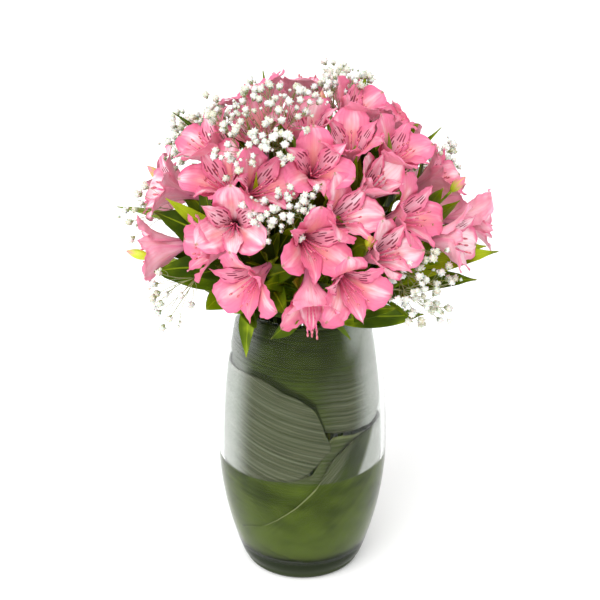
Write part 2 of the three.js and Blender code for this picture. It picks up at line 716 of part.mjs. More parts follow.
function addNode(name, whole, colour, roughness) {
  const solid = settled(whole.simplify(FINE));
  const material = new THREE.MeshStandardMaterial({ color: COLOURS[colour], roughness, metalness: 0 });
  const mesh = new THREE.Mesh(geometryOf(solid), material);
  mesh.name = name;
  model.add(mesh);
}

const numbered = (stem, i) => `${stem}_${String(i + 1).padStart(2, '0')}`;

addNode('vase', makeVase(), 'glass', 0.05);
for (const [name, leaf] of Object.entries(LINING_LEAVES)) {
  addNode(name, makeLining(leaf), 'lining', 0.5);
}

// Stems and stalks come first, then the blooms clear of them, then sprays and leaves.
const plans = STEMS.map(stemPlan);
const skeletons = [];
const sprayStems = [];
const taken = [];

for (const [i, stem] of STEMS.entries()) {
  const { points, top, seats, axes } = plans[i];
  const leaving = points.at(-1).clone().sub(points.at(-2)).normalize();
  let solid = rod(points, STEM.radius, STEM.sides);
  seats.forEach((seat, k) => { solid = solid.add(makeStalk(top, leaving, seat, axes[k])); });
  solid = clearOf(solid, taken);
  skeletons.push(solid);
  taken.push(obstacle(solid, GAP.stem));
}
for (const spray of SPRAYS) {
  const { solid, forks } = makeSprayStem(spray);
  const clear = clearOf(solid, taken);
  sprayStems.push({ solid: clear, forks });
  taken.push(obstacle(clear, GAP.stem));
}

const bloomSolids = [];
const bloomObstacles = [];
const blooms = STEMS.flatMap((stem) => stem.blooms);
for (const [i, bloom] of blooms.entries()) {
  const others = [...taken, ...bloomObstacles];
  const solid = clearOf(fitted(bloomVariants(bloom), others), others);
  addNode(numbered('bloom', i), solid, 'bloom', 0.5);
  bloomSolids.push(solid);
  bloomObstacles.push(obstacle(solid, GAP.bloom));
}

const sprays = SPRAYS.map((spray, i) => {
  const own = sprayStems[i].solid;
  const others = [...bloomObstacles, ...taken.filter(({ body }) => body !== own)];
  const heads = makeSprayHeads(spray, sprayStems[i].forks, others, 11 + i);
  const solid = largest(heads.reduce((whole, head) => whole.add(head), own));
  taken.push(obstacle(solid, GAP.spray));
  addNode(numbered('gypsophila_spray', i), solid, 'gypsophila', 0.7);
  return solid;
});

const vaseOutside = turned([[0, 0], [VASE.bellyRadius, 0], [VASE.bellyRadius, VASE.bellyHeight],
  [outerRadius(182), 182], [outerRadius(217), 217],
  [VASE.rimRadius + RIM_CLEAR, VASE.height], [0, VASE.height]], VASE.sides);
const placed = [vaseOutside, ...bloomSolids, ...sprays].map((solid) => obstacle(solid, GAP.leaf));
const stemObstacles = skeletons.map((solid) => obstacle(solid, GAP.leaf));
for (const [i, stem] of STEMS.entries()) {
  const { points, top } = plans[i];
  const leaving = points.at(-1).clone().sub(points.at(-2)).normalize();
  const others = [...placed, ...stemObstacles.filter((_, k) => k !== i)];
  let crown = null;
  const add = (piece) => { crown = crown ? crown.add(piece) : piece; };
  stem.leaves.forEach((leaf, k) => {
    const share = mix(LEAF.highest, LEAF.lowest, (k + 0.5) / stem.leaves.length);
    add(fitted(leafVariants(points, share, leaf), others));
  });
  for (const bud of stem.buds) add(makeBud(top, leaving, onDome(...bud)));
  const clear = trimmed(crown, others);
  const solid = largest(skeletons[i].add(clear));
  addNode(numbered('alstroemeria_stem', i), solid, 'stem', 0.6);
  stemObstacles[i] = obstacle(solid, GAP.leaf);
}

const shafts = [...STEMS, ...SPRAYS].map((piece, i) => {
  const radius = (i < STEMS.length ? STEM.radius : SPRAY.radius) + CLEAR;
  const foot = footOf(piece.mouth);
  const lean = stemLean(piece.mouth);
  const start = foot.addScaledVector(lean, -HOLE.below);
  return rod([start, start.clone().addScaledVector(lean, HOLE.length)], radius * Math.SQRT2, 4);
});
addNode('water', makeWater(shafts), 'water', 0.05);

export default model;
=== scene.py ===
"""Dresses a round bouquet of alstroemeria and gypsophila in a leaf-lined glass vase.

The tables are in millimetres and degrees. The origin is the centre of the face that the
vase stands on, +Z is up and -Y is the front. The flowers form a dome about DOME_CENTRE,
so a place on it is [azimuth, height angle, distance], with azimuth 0 at the front.
"""

import math
from itertools import product

import bpy
import numpy as np
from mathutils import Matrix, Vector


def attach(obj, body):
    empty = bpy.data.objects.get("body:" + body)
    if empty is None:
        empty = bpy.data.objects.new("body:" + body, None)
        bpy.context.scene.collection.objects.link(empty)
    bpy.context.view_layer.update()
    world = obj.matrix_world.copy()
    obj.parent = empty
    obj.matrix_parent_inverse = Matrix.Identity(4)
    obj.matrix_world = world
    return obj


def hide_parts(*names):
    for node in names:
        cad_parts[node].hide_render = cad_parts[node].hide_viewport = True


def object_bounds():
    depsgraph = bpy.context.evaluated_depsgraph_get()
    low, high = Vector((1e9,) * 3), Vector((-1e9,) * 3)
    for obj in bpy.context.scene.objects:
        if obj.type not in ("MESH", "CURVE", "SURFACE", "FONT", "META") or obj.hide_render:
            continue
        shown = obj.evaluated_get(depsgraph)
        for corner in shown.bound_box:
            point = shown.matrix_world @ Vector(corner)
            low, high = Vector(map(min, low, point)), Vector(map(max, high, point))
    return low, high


bl_info = {
    "name": "Alstroemeria Bouquet",
    "version": (1, 0, 0),
    "blender": (4, 5, 0),
    "location": "3D View > Sidebar > Bouquet",
    "description": "Builds the fine surfaces of a bouquet in a leaf-lined glass vase",
    "category": "Object",
}

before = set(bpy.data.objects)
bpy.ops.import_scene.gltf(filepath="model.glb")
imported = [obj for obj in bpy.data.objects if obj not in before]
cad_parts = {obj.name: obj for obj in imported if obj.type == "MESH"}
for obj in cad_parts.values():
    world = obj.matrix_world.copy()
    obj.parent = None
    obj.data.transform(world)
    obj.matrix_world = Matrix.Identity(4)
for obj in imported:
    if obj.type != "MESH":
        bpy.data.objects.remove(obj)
CAD_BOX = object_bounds()
MM = 0.001

# ------------------------------------------------------------------ the layout

DOME_CENTRE = np.array([6.0, 0.0, 300.0])
VASE = {
    "height": 250.0, "foot": 50.0, "belly": 73.0, "belly_at": 115.0, "rim": 58.0,
    "wall": 4.0, "base": 14.0,
}
STEM_RADIUS, STALK_RADIUS, SPRAY_RADIUS = 2.4, 1.1, 1.3
BEND_FROM, FOOT_Z = 236.0, 14.35
STEM_ENDS, SPRAY_ENDS = 0.52, 0.5  # shares of the way from the collar to the seats or forks
SPLAY_FROM = np.array([0, 0, 200.0])  # stems end pointing away from here
HIGHEST_LEAF, LOWEST_LEAF = 0.95, 0.1  # shares of a stem's bend
SEAT_DEPTH, OVARY, BUD = 30.0, 7, 22  # a bloom's depth, and the lengths of the others
LONGEST_STAMENS, LONGEST_REACH = 7, 1.45  # the bloom that hangs over the rim
LOWEST_TEPAL = 3  # the inner one without dashes
TWIG_OFF, DENSE_FAN, TWIGLESS_FEWER = 4.5, 12, 5  # heads that no twig of the CAD carries
OUTER = {"length": 52, "half": 14.5, "tip": 88, "cup": 0.16, "back": 0.6, "columns": 15}
INNER = {"length": 50, "half": 8.5, "tip": 76, "cup": 0.22, "back": 0.0, "columns": 11}
MIDRIB_STEPS, STEM_STEPS, SPRAY_STEPS = 96, 30, 24

# The finishes of a bloom, of a leafy stem and of a spray, in their order on the mesh.
FLUSHED, STRIPED, PLAIN, BACK, FILAMENT, ANTHER = range(6)
STALK, OVARY_SKIN, LEAF_FACE, LEAF_BACK, BUD_SKIN = range(5)
PETALS, TWIG = range(2)
BLOOM_SEED, STEM_SEED, SPRAY_SEED, HEAD_SEED = 100, 300, 500, 11

# A stem's mouth is where it crosses the height BEND_FROM, as [x, y]. A bloom is [azimuth,
# height, distance, facing azimuth, facing height, roll, opening].
# A leaf is [azimuth, height, distance of its tip, half width, turn about its midrib],
# the first one growing highest. A bud is [azimuth, height, distance].
STEMS = [
    {"mouth": [-33, -20],
     "blooms": [[-22, 7, 132, -36, -12, 8, 1.0], [-39, 17, 131, -72, 4, -20, 0.8],
                [-67, 7, 133, -86, -8, 10, 0.8]],
     "leaves": [[-43, -46, 110, 9, 0], [-62, 1, 141, 17, 30], [-66, 6, 138, 11, 20]],
     "buds": [[-80, 1, 150]]},
    {"mouth": [-14, -26],
     "blooms": [[-29, 26, 130, -10, 22, 0, 1.0], [-21, 40, 130, 30, 38, 12, 0.95],
                [-45, 40, 130, -42, 52, 0, 0.85]],
     "leaves": [[-66, 20, 143, 15, 0], [-63, 26, 142, 8, -20], [-24, 44, 140, 5, 60],
                [-14, 57, 138, 8, 20]],
     "buds": [[-15, 51, 138]]},
    {"mouth": [3, -40],
     "blooms": [[1, 22, 130, 24, 8, -10, 0.95], [0, 2, 130, 4, -42, 0, 0.7],
                [13, 8, 132, 24, -12, 12, 0.95]],
     "leaves": [[-6, 10, 134, 8, 70], [69, -26, 112, 10, 0], [-23, -33, 97, 11, 0],
                [24, -34, 97, 11, 10]],
     "buds": []},
    {"mouth": [27, -27],
     "blooms": [[14, 32, 128, 46, 33, 5, 0.95], [42, 27, 131, 58, 24, 0, 1.0],
                [28, 17, 128, 32, 30, 15, 0.7], [57, 14, 132, 72, 2, 0, 0.8]],
     "leaves": [[9, 31, 135, 8, 20], [22, 20, 136, 13, 50], [32, 28, 139, 10, 0],
                [71, 5, 160, 11, 0], [62, -1, 150, 12, -20], [44, -16, 122, 10, 0]],
     "buds": [[21, 23, 139]]},
    {"mouth": [42, 0],
     "blooms": [[79, 13, 139, 86, 4, 30, 0.72], [82, 31, 120, 84, 32, 0, 0.7],
                [112, 12, 123, 118, 6, 0, 0.95]],
     "leaves": [[58, 31, 142, 8, 0], [62, 25, 146, 8, 30], [96, -4, 150, 12, 0],
                [128, -6, 140, 12, 0]],
     "buds": [[68, 30, 150]]},
    {"mouth": [17, -2],
     "blooms": [[31, 41, 126, 40, 40, 40, 0.45], [45, 48, 134, 60, 46, 0, 0.9],
                [26, 57, 125, 4, 66, 0, 0.8], [98, 59, 121, 104, 48, 0, 0.95]],
     "leaves": [[41, 53, 150, 7, 20], [72, 46, 156, 10, 0], [23, 50, 140, 8, -30],
                [36, 67, 148, 8, 40]],
     "buds": []},
    {"mouth": [4, -14],
     "blooms": [[3, 49, 130, 3, 38, 0, 1.0], [-4, 67, 128, -20, 80, 0, 0.85],
                [48, 70, 128, 74, 62, 0, 0.66]],
     "leaves": [[5, 42, 136, 8, 0], [-12, 60, 136, 10, 10], [15, 78, 140, 7, 0]],
     "buds": [[8, 40, 137], [20, 79, 140]]},
    {"mouth": [-13, 2],
     "blooms": [[-62, 48, 136, -78, 42, 0, 0.8], [-42, 61, 122, -40, 66, 30, 0.75],
                [-88, 71, 134, -116, 60, 0, 1.0], [-170, 80, 127, 170, 72, 0, 0.95]],
     "leaves": [[-30, 59, 136, 10, 0], [-43, 60, 145, 6, 30], [-103, 42, 156, 6, 0]],
     "buds": []},
    {"mouth": [-42, 3],
     "blooms": [[-73, 28, 136, -84, 22, 0, 1.0], [-112, 12, 130, -116, 4, 0, 0.95],
                [-118, 40, 124, -120, 36, 0, 1.0]],
     "leaves": [[-88, 12, 162, 8, 20], [-88, -2, 140, 11, 0], [-132, -8, 142, 12, 0],
                [-136, 30, 146, 9, 0]],
     "buds": [[-92, 26, 146]]},
    {"mouth": [21, 33],
     "blooms": [[145, 12, 130, 148, 4, 0, 0.95], [157, 42, 130, 160, 38, 0, 1.0],
                [119, 40, 117, 116, 34, 0, 0.95]],
     "leaves": [[128, 22, 146, 10, 0], [158, -8, 142, 12, 0], [138, 40, 146, 9, 0],
                [130, 66, 148, 8, 0]],
     "buds": [[160, 24, 146]]},
    {"mouth": [-15, 37],
     "blooms": [[180, 11, 130, 180, 4, 0, 0.95], [-158, 40, 130, -160, 34, 0, 1.0],
                [-146, 12, 130, -148, 6, 0, 0.95]],
     "leaves": [[-162, 0, 146, 11, 0], [-176, 24, 148, 9, 0], [-142, 26, 146, 9, 0],
                [-146, 62, 148, 8, 0]],
     "buds": []},
]

# A fan is [azimuth, height, half spread, distance of its fork, distance of its flower
# heads, how many of them are set out first, how many branch beside each of those].
SPRAYS = [
    {"mouth": [-23, -10],
     "fans": [[-31, 60, 17, 112, 154, 12, 13], [-62, 52, 11, 112, 146, 5, 8]]},
    {"mouth": [8, 12], "fans": [[60, 75, 13, 114, 145, 9, 6], [160, 60, 10, 112, 146, 4, 6]]},
    {"mouth": [-38, -9],
     "fans": [[-75, 20, 12, 112, 150, 8, 5], [-57, -3, 15, 108, 146, 7, 2]]},
    {"mouth": [-4, -28], "fans": [[-10, 34, 9, 112, 140, 10, 8]]},
    {"mouth": [16, -36], "fans": [[36, 10, 11, 108, 140, 8, 6], [42, -4, 12, 108, 138, 6, 4]]},
    {"mouth": [34, 18], "fans": [[108, 32, 11, 108, 132, 5, 7], [130, 6, 10, 112, 146, 5, 7]]},
    {"mouth": [-30, 22],
     "fans": [[-132, 26, 11, 112, 148, 6, 7], [-95, 40, 10, 112, 141, 5, 7]]},
]

# A lining leaf is a sheet inside the glass, between two edges given as corners
# [azimuth, height]. Its layer says how far inside, and its lean how its veins slope, in
# millimetres a degree.
LINING = {
    "lining_leaf_upper": {
        "layer": 1, "from": -179.4, "to": 179.4, "lean": -0.06,
        "bottom": [[-180, 158], [-60, 172], [0, 160], [20, 153], [60, 147], [180, 158]],
        "top": [[-180, 246], [180, 246]]},
    "lining_leaf_middle": {
        "layer": 0, "from": -200, "to": 20, "lean": -0.34,
        "bottom": [[-200, 128], [-170, 106], [-60, 103], [0, 112], [20, 139]],
        "top": [[-200, 150], [-170, 190], [-60, 199], [-30, 199], [0, 184], [10, 175],
                [20, 141]]},
    "lining_leaf_lower_right": {
        "layer": 0, "from": -60, "to": 150, "lean": 1.3,
        "bottom": [[-60, 43], [-30, 32], [0, 21], [150, 21]],
        "top": [[-60, 45], [-30, 60], [-8, 80], [10, 104], [22, 130], [45, 146],
                [75, 146], [150, 120]]},
    "lining_leaf_lower_left": {
        "layer": 1, "from": -225, "to": 60, "lean": -0.1,
        "bottom": [[-225, 21], [60, 21]],
        "top": [[-225, 118], [-150, 126], [-60, 122], [8, 114], [20, 149], [60, 143]]},
}
LINING_FIRST, LINING_NEXT, LINING_THICK = 1.0, 2.5, 0.8


# ------------------------------------------------------------------ vectors and curves

def direction(azimuth, height):
    """The unit vector at an azimuth and a height angle."""
    a, h = np.radians(azimuth), np.radians(height)
    return np.array([np.sin(a) * np.cos(h), -np.cos(a) * np.cos(h), np.sin(h)])


def on_dome(azimuth, height, distance):
    """The dome's centre plus the distance along a direction."""
    return DOME_CENTRE + direction(azimuth, height) * distance


def unit(vectors):
    """Each vector divided by its length."""
    return vectors / np.linalg.norm(vectors, axis=-1, keepdims=True)


def smooth(low, high, x):
    """Three t squared less two t cubed, with t the clamped share from low to high."""
    t = np.clip((x - low) / (high - low), 0, 1)
    return t * t * (3 - 2 * t)


def bend(start, leaving, end, arriving, steps, pull=0.38):
    """A cubic Bezier curve that leaves along one direction and arrives along another.

    Its two inner handles lie at pull times the chord's length from the ends.
    """
    reach = np.linalg.norm(end - start) * pull
    t = np.linspace(0, 1, steps + 1)[:, None]
    return ((1 - t) ** 3 * start + 3 * t * (1 - t) ** 2 * (start + leaving * reach)
            + 3 * t * t * (1 - t) * (end - arriving * reach) + t ** 3 * end)


def turned_about(vector, axis, angles):
    """Rodrigues' turn of one vector about a unit axis, for an array of angles in degrees."""
    a = np.radians(angles)[:, None]
    along = axis * (axis @ vector)
    return vector * np.cos(a) + np.cross(axis, vector) * np.sin(a) + along * (1 - np.cos(a))


def outer_radius(z):
    """The vase's radius: one parabola below the belly and another above it."""
    belly, at = VASE["belly"], VASE["belly_at"]
    below = belly - (belly - VASE["foot"]) * ((at - z) / at) ** 2
    above = belly - (belly - VASE["rim"]) * ((z - at) / (VASE["height"] - at)) ** 2
    return np.where(z < at, below, above)


def inner_radius(z):
    """The outer radius less the wall."""
    return outer_radius(z) - VASE["wall"]


# ------------------------------------------------------------------ meshes

class Skin:
    """Closed skins gathered into one mesh.

    Each is an array of rings of points. Neighbouring rings are joined by quads, and each
    end is closed by a fan round one point. Faces are turned to point outwards by the sign
    of the volume that they enclose.
    """

    def __init__(self):
        self.size = 0
        self.parts = []

    def add(self, rings, material=0, tone=0.0, uv=None, foot=None, tip=None):
        """Adds rings of shape (count, around, 3). Their uv has the shape (count, around + 1,
        2) and by default runs from 0 to 1 round each ring and from the first to the last."""
        count, around = rings.shape[:2]
        if uv is None:
            u, v = np.meshgrid(np.linspace(0, 1, around + 1), np.linspace(0, 1, count))
            uv = np.stack([u, v], -1)
        foot = rings[0].mean(0) if foot is None else foot
        tip = rings[-1].mean(0) if tip is None else tip
        points = np.concatenate([rings.reshape(-1, 3), [foot, tip]])
        index = np.arange(count * around).reshape(count, around)
        low, high = index[:-1], index[1:]
        quads = np.stack([low, np.roll(low, -1, 1), np.roll(high, -1, 1), high], -1)
        quads = quads.reshape(-1, 4)
        quad_uv = np.stack([uv[:-1, :-1], uv[:-1, 1:], uv[1:, 1:], uv[1:, :-1]], -2)
        quad_uv = quad_uv.reshape(-1, 4, 2)
        first, last = index[0], index[-1]
        hub = np.full(around, count * around)
        fans = np.concatenate([np.stack([np.roll(first, -1), first, hub], -1),
                               np.stack([last, np.roll(last, -1), hub + 1], -1)])
        middle = [np.broadcast_to(row.mean(0), (around, 2)) for row in (uv[0], uv[-1])]
        fan_uv = np.concatenate([np.stack([uv[0, 1:], uv[0, :-1], middle[0]], -2),
                                 np.stack([uv[-1, :-1], uv[-1, 1:], middle[1]], -2)])
        corners = points - points.mean(0)
        a, b, c, d = (corners[quads[:, i]] for i in range(4))
        volume = np.sum(a * np.cross(b, c)) + np.sum(a * np.cross(c, d))
        a, b, c = (corners[fans[:, i]] for i in range(3))
        if volume + np.sum(a * np.cross(b, c)) < 0:
            quads, quad_uv = quads[:, ::-1], quad_uv[:, ::-1]
            fans, fan_uv = fans[:, ::-1], fan_uv[:, ::-1]
        column = np.broadcast_to(material, around)
        quad_material = np.broadcast_to(column, (count - 1, around)).ravel()
        tones = np.full(len(points), float(tone))
        self.parts.append((points, quads + self.size, fans + self.size, quad_uv, fan_uv,
                           quad_material, np.concatenate([column, column]), tones))
        self.size += len(points)

    def tube(self, path, radius, sides, material=0, tone=0.0):
        """Adds a pipe along a path."""
        self.add(pipe(path, radius, sides), material, tone)

    def build(self, name, materials):
        """One object from all the skins, with a UV map and a tone for each point."""
        points, quads, fans, quad_uv, fan_uv, quad_mat, fan_mat, tones = (
            np.concatenate(arrays) for arrays in zip(*self.parts))
        mesh = bpy.data.meshes.new(name)
        mesh.from_pydata(points * MM, [], quads.tolist() + fans.tolist())
        uv = mesh.uv_layers.new(name="UVMap")
        uv.data.foreach_set("uv", np.concatenate([quad_uv.ravel(), fan_uv.ravel()]))
        mesh.attributes.new("tone", "FLOAT", "POINT").data.foreach_set("value", tones)
        mesh.polygons.foreach_set("material_index", np.concatenate([quad_mat, fan_mat]))
        mesh.polygons.foreach_set("use_smooth", np.ones(len(mesh.polygons), dtype=bool))
        for material in materials:
            mesh.materials.append(material)
        mesh.update()
        piece = bpy.data.objects.new(name, mesh)
        bpy.context.collection.objects.link(piece)
        return piece


def pipe(path, radius, sides):
    """Rings round a path: its point plus the radius times a unit vector that turns about
    its tangent. The radius is one number, or one a point, or one a point and a side."""
    tangent = unit(np.gradient(path, axis=0))
    plane = np.cross(tangent[0], tangent[-1])
    if np.linalg.norm(plane) < 0.02:
        plane = np.cross(tangent[0], [0.31, 0.88, 0.36])
    a = unit(np.cross(tangent, plane))
    b = np.cross(tangent, a)
    angle = np.arange(sides) * 2 * np.pi / sides
    ring = a[:, None] * np.cos(angle)[:, None] + b[:, None] * np.sin(angle)[:, None]
    radius = np.asarray(radius, float)
    if radius.ndim == 1:
        radius = radius[:, None]
    return path[:, None] + ring * np.broadcast_to(radius, ring.shape[:2])[..., None]


def lathe(radii, heights, sides):
    """Rings of a profile turned about the vertical axis."""
    angle = np.arange(sides) * 2 * np.pi / sides
    ring = np.stack([np.cos(angle), np.sin(angle), np.zeros(sides)], -1)
    rings = ring[None] * radii[:, None, None]
    rings[..., 2] = heights[:, None]
    return rings


def blade(middle, side, face, half, lift, thick, across):
    """Rings round a thin blade, and the u of each of their points.

    Across the blade u runs from -1 to 1 and back underneath, as the sine of even steps of
    a quarter turn, so columns crowd towards the edges. A point is the midline, plus
    the side times the half width times u, plus the face times lift(u) and half the
    thickness, which dies away at both edges as the root of one less u squared.
    """
    over = np.sin(np.linspace(-1, 1, across) * np.pi / 2)
    u = np.concatenate([over, over[-2:0:-1]])
    upper = np.concatenate([np.ones(across), -np.ones(across - 2)])
    depth = upper * thick / 2 * np.sqrt(1 - u * u)
    rise = lift(u[None]) + depth[None]
    rings = middle[:, None] + side[:, None] * (half[:, None] * u)[..., None]
    return rings + face[:, None] * rise[..., None], u


def blade_uv(u, share):
    """U across the blade from 0 to 1, the same on both faces, and V along it."""
    u = (np.append(u, u[0]) + 1) / 2
    return np.stack(np.broadcast_arrays(u[None], share[:, None]), -1)


def faces_of(across, top, under):
    """The material of each column of a blade: one on its face, another beneath."""
    return np.concatenate([np.full(across - 1, top), np.full(across - 1, under)])


def node_points(node):
    """The corners of a CAD node, in millimetres."""
    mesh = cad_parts[node].data
    points = np.empty(len(mesh.vertices) * 3)
    mesh.vertices.foreach_get("co", points)
    return points.reshape(-1, 3) / MM


def nearest(choices, ends_of, corners):
    """The first choice whose ends have the smallest sum of distances to the nearest
    corners, each at most 3 mm."""
    best, least = None, math.inf
    for choice in choices:
        apart = np.linalg.norm(ends_of(*choice)[:, None] - corners[None], axis=-1).min(1)
        off = np.minimum(apart, 3).sum()
        if off < least - 1e-6:
            best, least = choice, off
    return best


def settle(piece, node):
    """The piece stands for a CAD node, which it hides, and rides with the root body."""
    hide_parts(node)
    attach(piece, "root")


# ------------------------------------------------------------------ shaders

class Value:
    """A socket that carries a number. Arithmetic on it adds Math nodes."""

    def __init__(self, finish, socket):
        self.finish, self.socket = finish, socket

    def math(self, operation, *values):
        """One Math node."""
        return self.finish.node("ShaderNodeMath", enumerate(values), operation=operation)

    def __add__(self, other):
        return self.math("ADD", self, other)

    __radd__ = __add__

    def __mul__(self, other):
        return self.math("MULTIPLY", self, other)

    __rmul__ = __mul__

    def __sub__(self, other):
        return self.math("SUBTRACT", self, other)

    def __rsub__(self, other):
        return self.math("SUBTRACT", other, self)

    def __abs__(self):
        return self.math("ABSOLUTE", self)

    def sine(self):
        return self.math("SINE", self)

    def fraction(self):
        return self.math("FRACT", self)

    def floor(self):
        return self.math("FLOOR", self)

    def at_most(self, other):
        return self.math("MINIMUM", self, other)

    def at_least(self, other):
        return self.math("MAXIMUM", self, other)

    def smooth(self, low, high):
        """A smooth step from 0 at low to 1 at high; low may be the larger."""
        if low > high:
            return 1 - self.smooth(high, low)
        return self.finish.node("ShaderNodeMapRange", enumerate([self, low, high, 0.0, 1.0]),
                                interpolation_type="SMOOTHSTEP")

    def band(self, low, rise, fall, high):
        """1 between rise and fall, easing to 0 at low and at high."""
        return self.smooth(low, rise) * self.smooth(high, fall)


class Finish:
    """A material being made."""

    def __init__(self, name):
        self.material = bpy.data.materials.new(name)
        self.material.use_nodes = True
        self.tree = self.material.node_tree
        self.tree.nodes.clear()

    def node(self, kind, inputs=(), output=0, **settings):
        """Adds a node, with its settings first, and gives one of its outputs."""
        node = self.tree.nodes.new(kind)
        for key, value in settings.items():
            setattr(node, key, value)
        for key, value in dict(inputs).items():
            socket = node.inputs[key]
            if isinstance(value, Value):
                self.tree.links.new(value.socket, socket)
            else:
                socket.default_value = (*value, 1.0) if socket.type == "RGBA" else value
        return Value(self, node.outputs[output])

    def split(self, vector):
        """The three numbers of a vector."""
        first = self.node("ShaderNodeSeparateXYZ", {0: vector})
        return [Value(self, socket) for socket in first.socket.node.outputs]

    def place(self):
        """The object's own x, y and z in millimetres."""
        where = self.node("ShaderNodeTexCoord", output="Object")
        return [value * 1000.0 for value in self.split(where)]

    def azimuth(self):
        """Degrees about the vertical axis, 0 at the front and positive to the right."""
        x, y, _ = self.place()
        return x.math("ARCTAN2", x, 0.0 - y) * 57.2958

    def across_along(self):
        """U from -1 to 1 and V from 0 to 1."""
        u, v, _ = self.split(self.node("ShaderNodeUVMap", uv_map="UVMap"))
        return u * 2.0 - 1.0, v

    def tone(self):
        """The tone that each skin was given."""
        return self.node("ShaderNodeAttribute", output="Fac", attribute_name="tone")

    def noise(self, x, y, z, scale, detail=2.0, rough=0.5):
        """Smooth noise at a place given by three numbers."""
        place = self.node("ShaderNodeCombineXYZ", enumerate([x, y, z]))
        return self.node("ShaderNodeTexNoise", {
            "Vector": place, "Scale": scale, "Detail": detail, "Roughness": rough})

    def chance(self, number):
        """A random number from 0 to 1 for each whole number."""
        return self.node("ShaderNodeTexWhiteNoise", {"W": number}, noise_dimensions="1D")

    def layered(self, colour, *layers):
        """A colour with others laid over it, each with the share that it covers."""
        for over, share in layers:
            colour = self.node("ShaderNodeMix", {0: share, 6: colour, 7: over}, 2,
                               data_type="RGBA")
        return colour

    def bump(self, height, strength, distance):
        """A normal that leans with a height."""
        return self.node("ShaderNodeBump", {
            "Height": height, "Strength": strength, "Distance": distance})

    def principled(self, **inputs):
        """The Principled shader, with inputs named such as base_color."""
        return self.node("ShaderNodeBsdfPrincipled", {
            key.replace("_", " ").title().replace("Ior", "IOR"): value
            for key, value in inputs.items()})

    def blend(self, share, a, b):
        """One shader changing into another."""
        return self.node("ShaderNodeMixShader", enumerate([share, a, b]))

    def close(self, through=None, share=0.0, soft=0.0, **inputs):
        """The Principled shader at the end. A share of the light goes through a thin piece
        and takes the colour named through, and a soft one scatters light under its skin."""
        if soft:
            inputs.update(subsurface_weight=soft, subsurface_scale=0.002)
        shader = self.principled(**inputs)
        if through:
            glow = self.node("ShaderNodeBsdfTranslucent", {"Color": through})
            shader = self.blend(share, shader, glow)
        return self.end(shader)

    def end(self, shader):
        """Gives the finished material its surface."""
        output = self.tree.nodes.new("ShaderNodeOutputMaterial")
        self.tree.links.new(shader.socket, output.inputs["Surface"])
        return self.material


def tepal_finish(name, s, kind):
    """Pink tepal: pale along its middle with a deeper edge, fine veins, a plum shade painted
    deep in its throat and a dark point. The kind striped, for the upper inner ones, has dark
    dashes on a paler ground, the kind plain has less flush, and the kind back is the
    underside, with painted shade towards its base and a faint painted glow of light through it."""
    f = Finish(name)
    across, along = f.across_along()
    tone, edge = f.tone(), abs(across)
    spread = across * (1.3 - along * 0.3)
    fibre = f.noise(spread * 9.0, along * 1.0, tone * 7.0, 1.6, 3.0, 0.6)
    patch = f.noise(across * 1.1, along * 1.5, tone * 13.0, 1.6)
    veins = (spread * 26.0 + fibre * 2.4).sine().smooth(0.2, 1.0)
    rich = fibre * 0.25 + patch * 1.6 + tone * 0.3 + edge * edge * 0.4 - 0.48
    rim = edge.smooth(0.66, 1.0) * 0.6 + along.smooth(0.84, 1.0) * 0.45
    layers = [(s.pink, rich.smooth(0.08, 0.78))]
    if kind == "striped":
        ground = edge.smooth(1.0, 0.2) * along.band(0.15, 0.34, 0.55, 0.85)
        layers.append((s.ground, ground * 0.6))
    else:
        flush = edge.smooth(0.7, 0.0) * along.band(0.1, 0.36, 0.55, 0.9) * (
            patch * 1.1 + tone * 0.2).smooth(0.3, 0.75)
        streak = edge.smooth(0.12, 0.0) * along.band(0.1, 0.3, 0.8, 0.95)
        layers += [(s.flush, flush * (0.2 if kind == "plain" else 0.5)),
                   (s.cream, streak * 0.12)]
    layers += [(s.deep, veins * 0.14 * along.smooth(0.05, 0.4)),
               (s.deep, rim * (fibre * 0.9 + 0.3) * 0.5),
               # The plum throat is painted shade deep in the bloom.
               (s.throat, along.smooth(0.34, 0.05) * 0.75)]
    if kind == "striped":
        lane = across * 3.7 + 20.0
        start = f.chance(lane.floor() + (tone * 9.0).floor() * 31.0)
        body = (along * 2.9 + start).fraction().band(0.0, 0.1, 0.45, 0.56)
        dash = (body * 0.29 - abs(lane.fraction() - 0.5)).smooth(0.0, 0.07)
        dash = dash * along.band(0.26, 0.32, 0.74, 0.84) * edge.smooth(0.98, 0.86)
        layers.append((s.stripe, dash * 0.95))
    layers.append((s.tip_mark, edge.smooth(0.4, 0.05) * along.smooth(0.955, 0.99) * 0.75))
    if kind == "back":
        rib = edge.smooth(0.16, 0.0) * along.smooth(1.0, 0.15)
        # Painted light and shade on backs: the back colour stands in for light through the
        # tepal, and deep pink towards the base is painted shade.
        layers += [(s.back, 0.5), (s.deep, along.smooth(0.6, 0.1) * 0.6),
                   (s.tip_mark, rib * 0.3)]
    return f.close(
        base_color=f.layered(s.pale, *layers), roughness=fibre * 0.15 + 0.42,
        normal=f.bump(fibre * 0.7 + veins * 0.5, 0.4, 0.0007), specular_ior_level=0.25,
        # Backs glow faintly in the back colour: painted light through the tepal, not a lamp.
        emission_color=s.back, emission_strength=0.1 if kind == "back" else 0.0,
        through=s.through, share=0.2 if kind == "back" else 0.12)


def thread_finish(name, colour, dark):
    """Filaments and anthers: one colour, mottled by a fine noise."""
    f = Finish(name)
    grain = f.noise(*f.place(), 0.9)
    return f.close(base_color=f.layered(colour, (dark, grain.smooth(0.35, 0.75))),
                   roughness=0.5, normal=f.bump(grain, 0.3, 0.0003), soft=0.15)


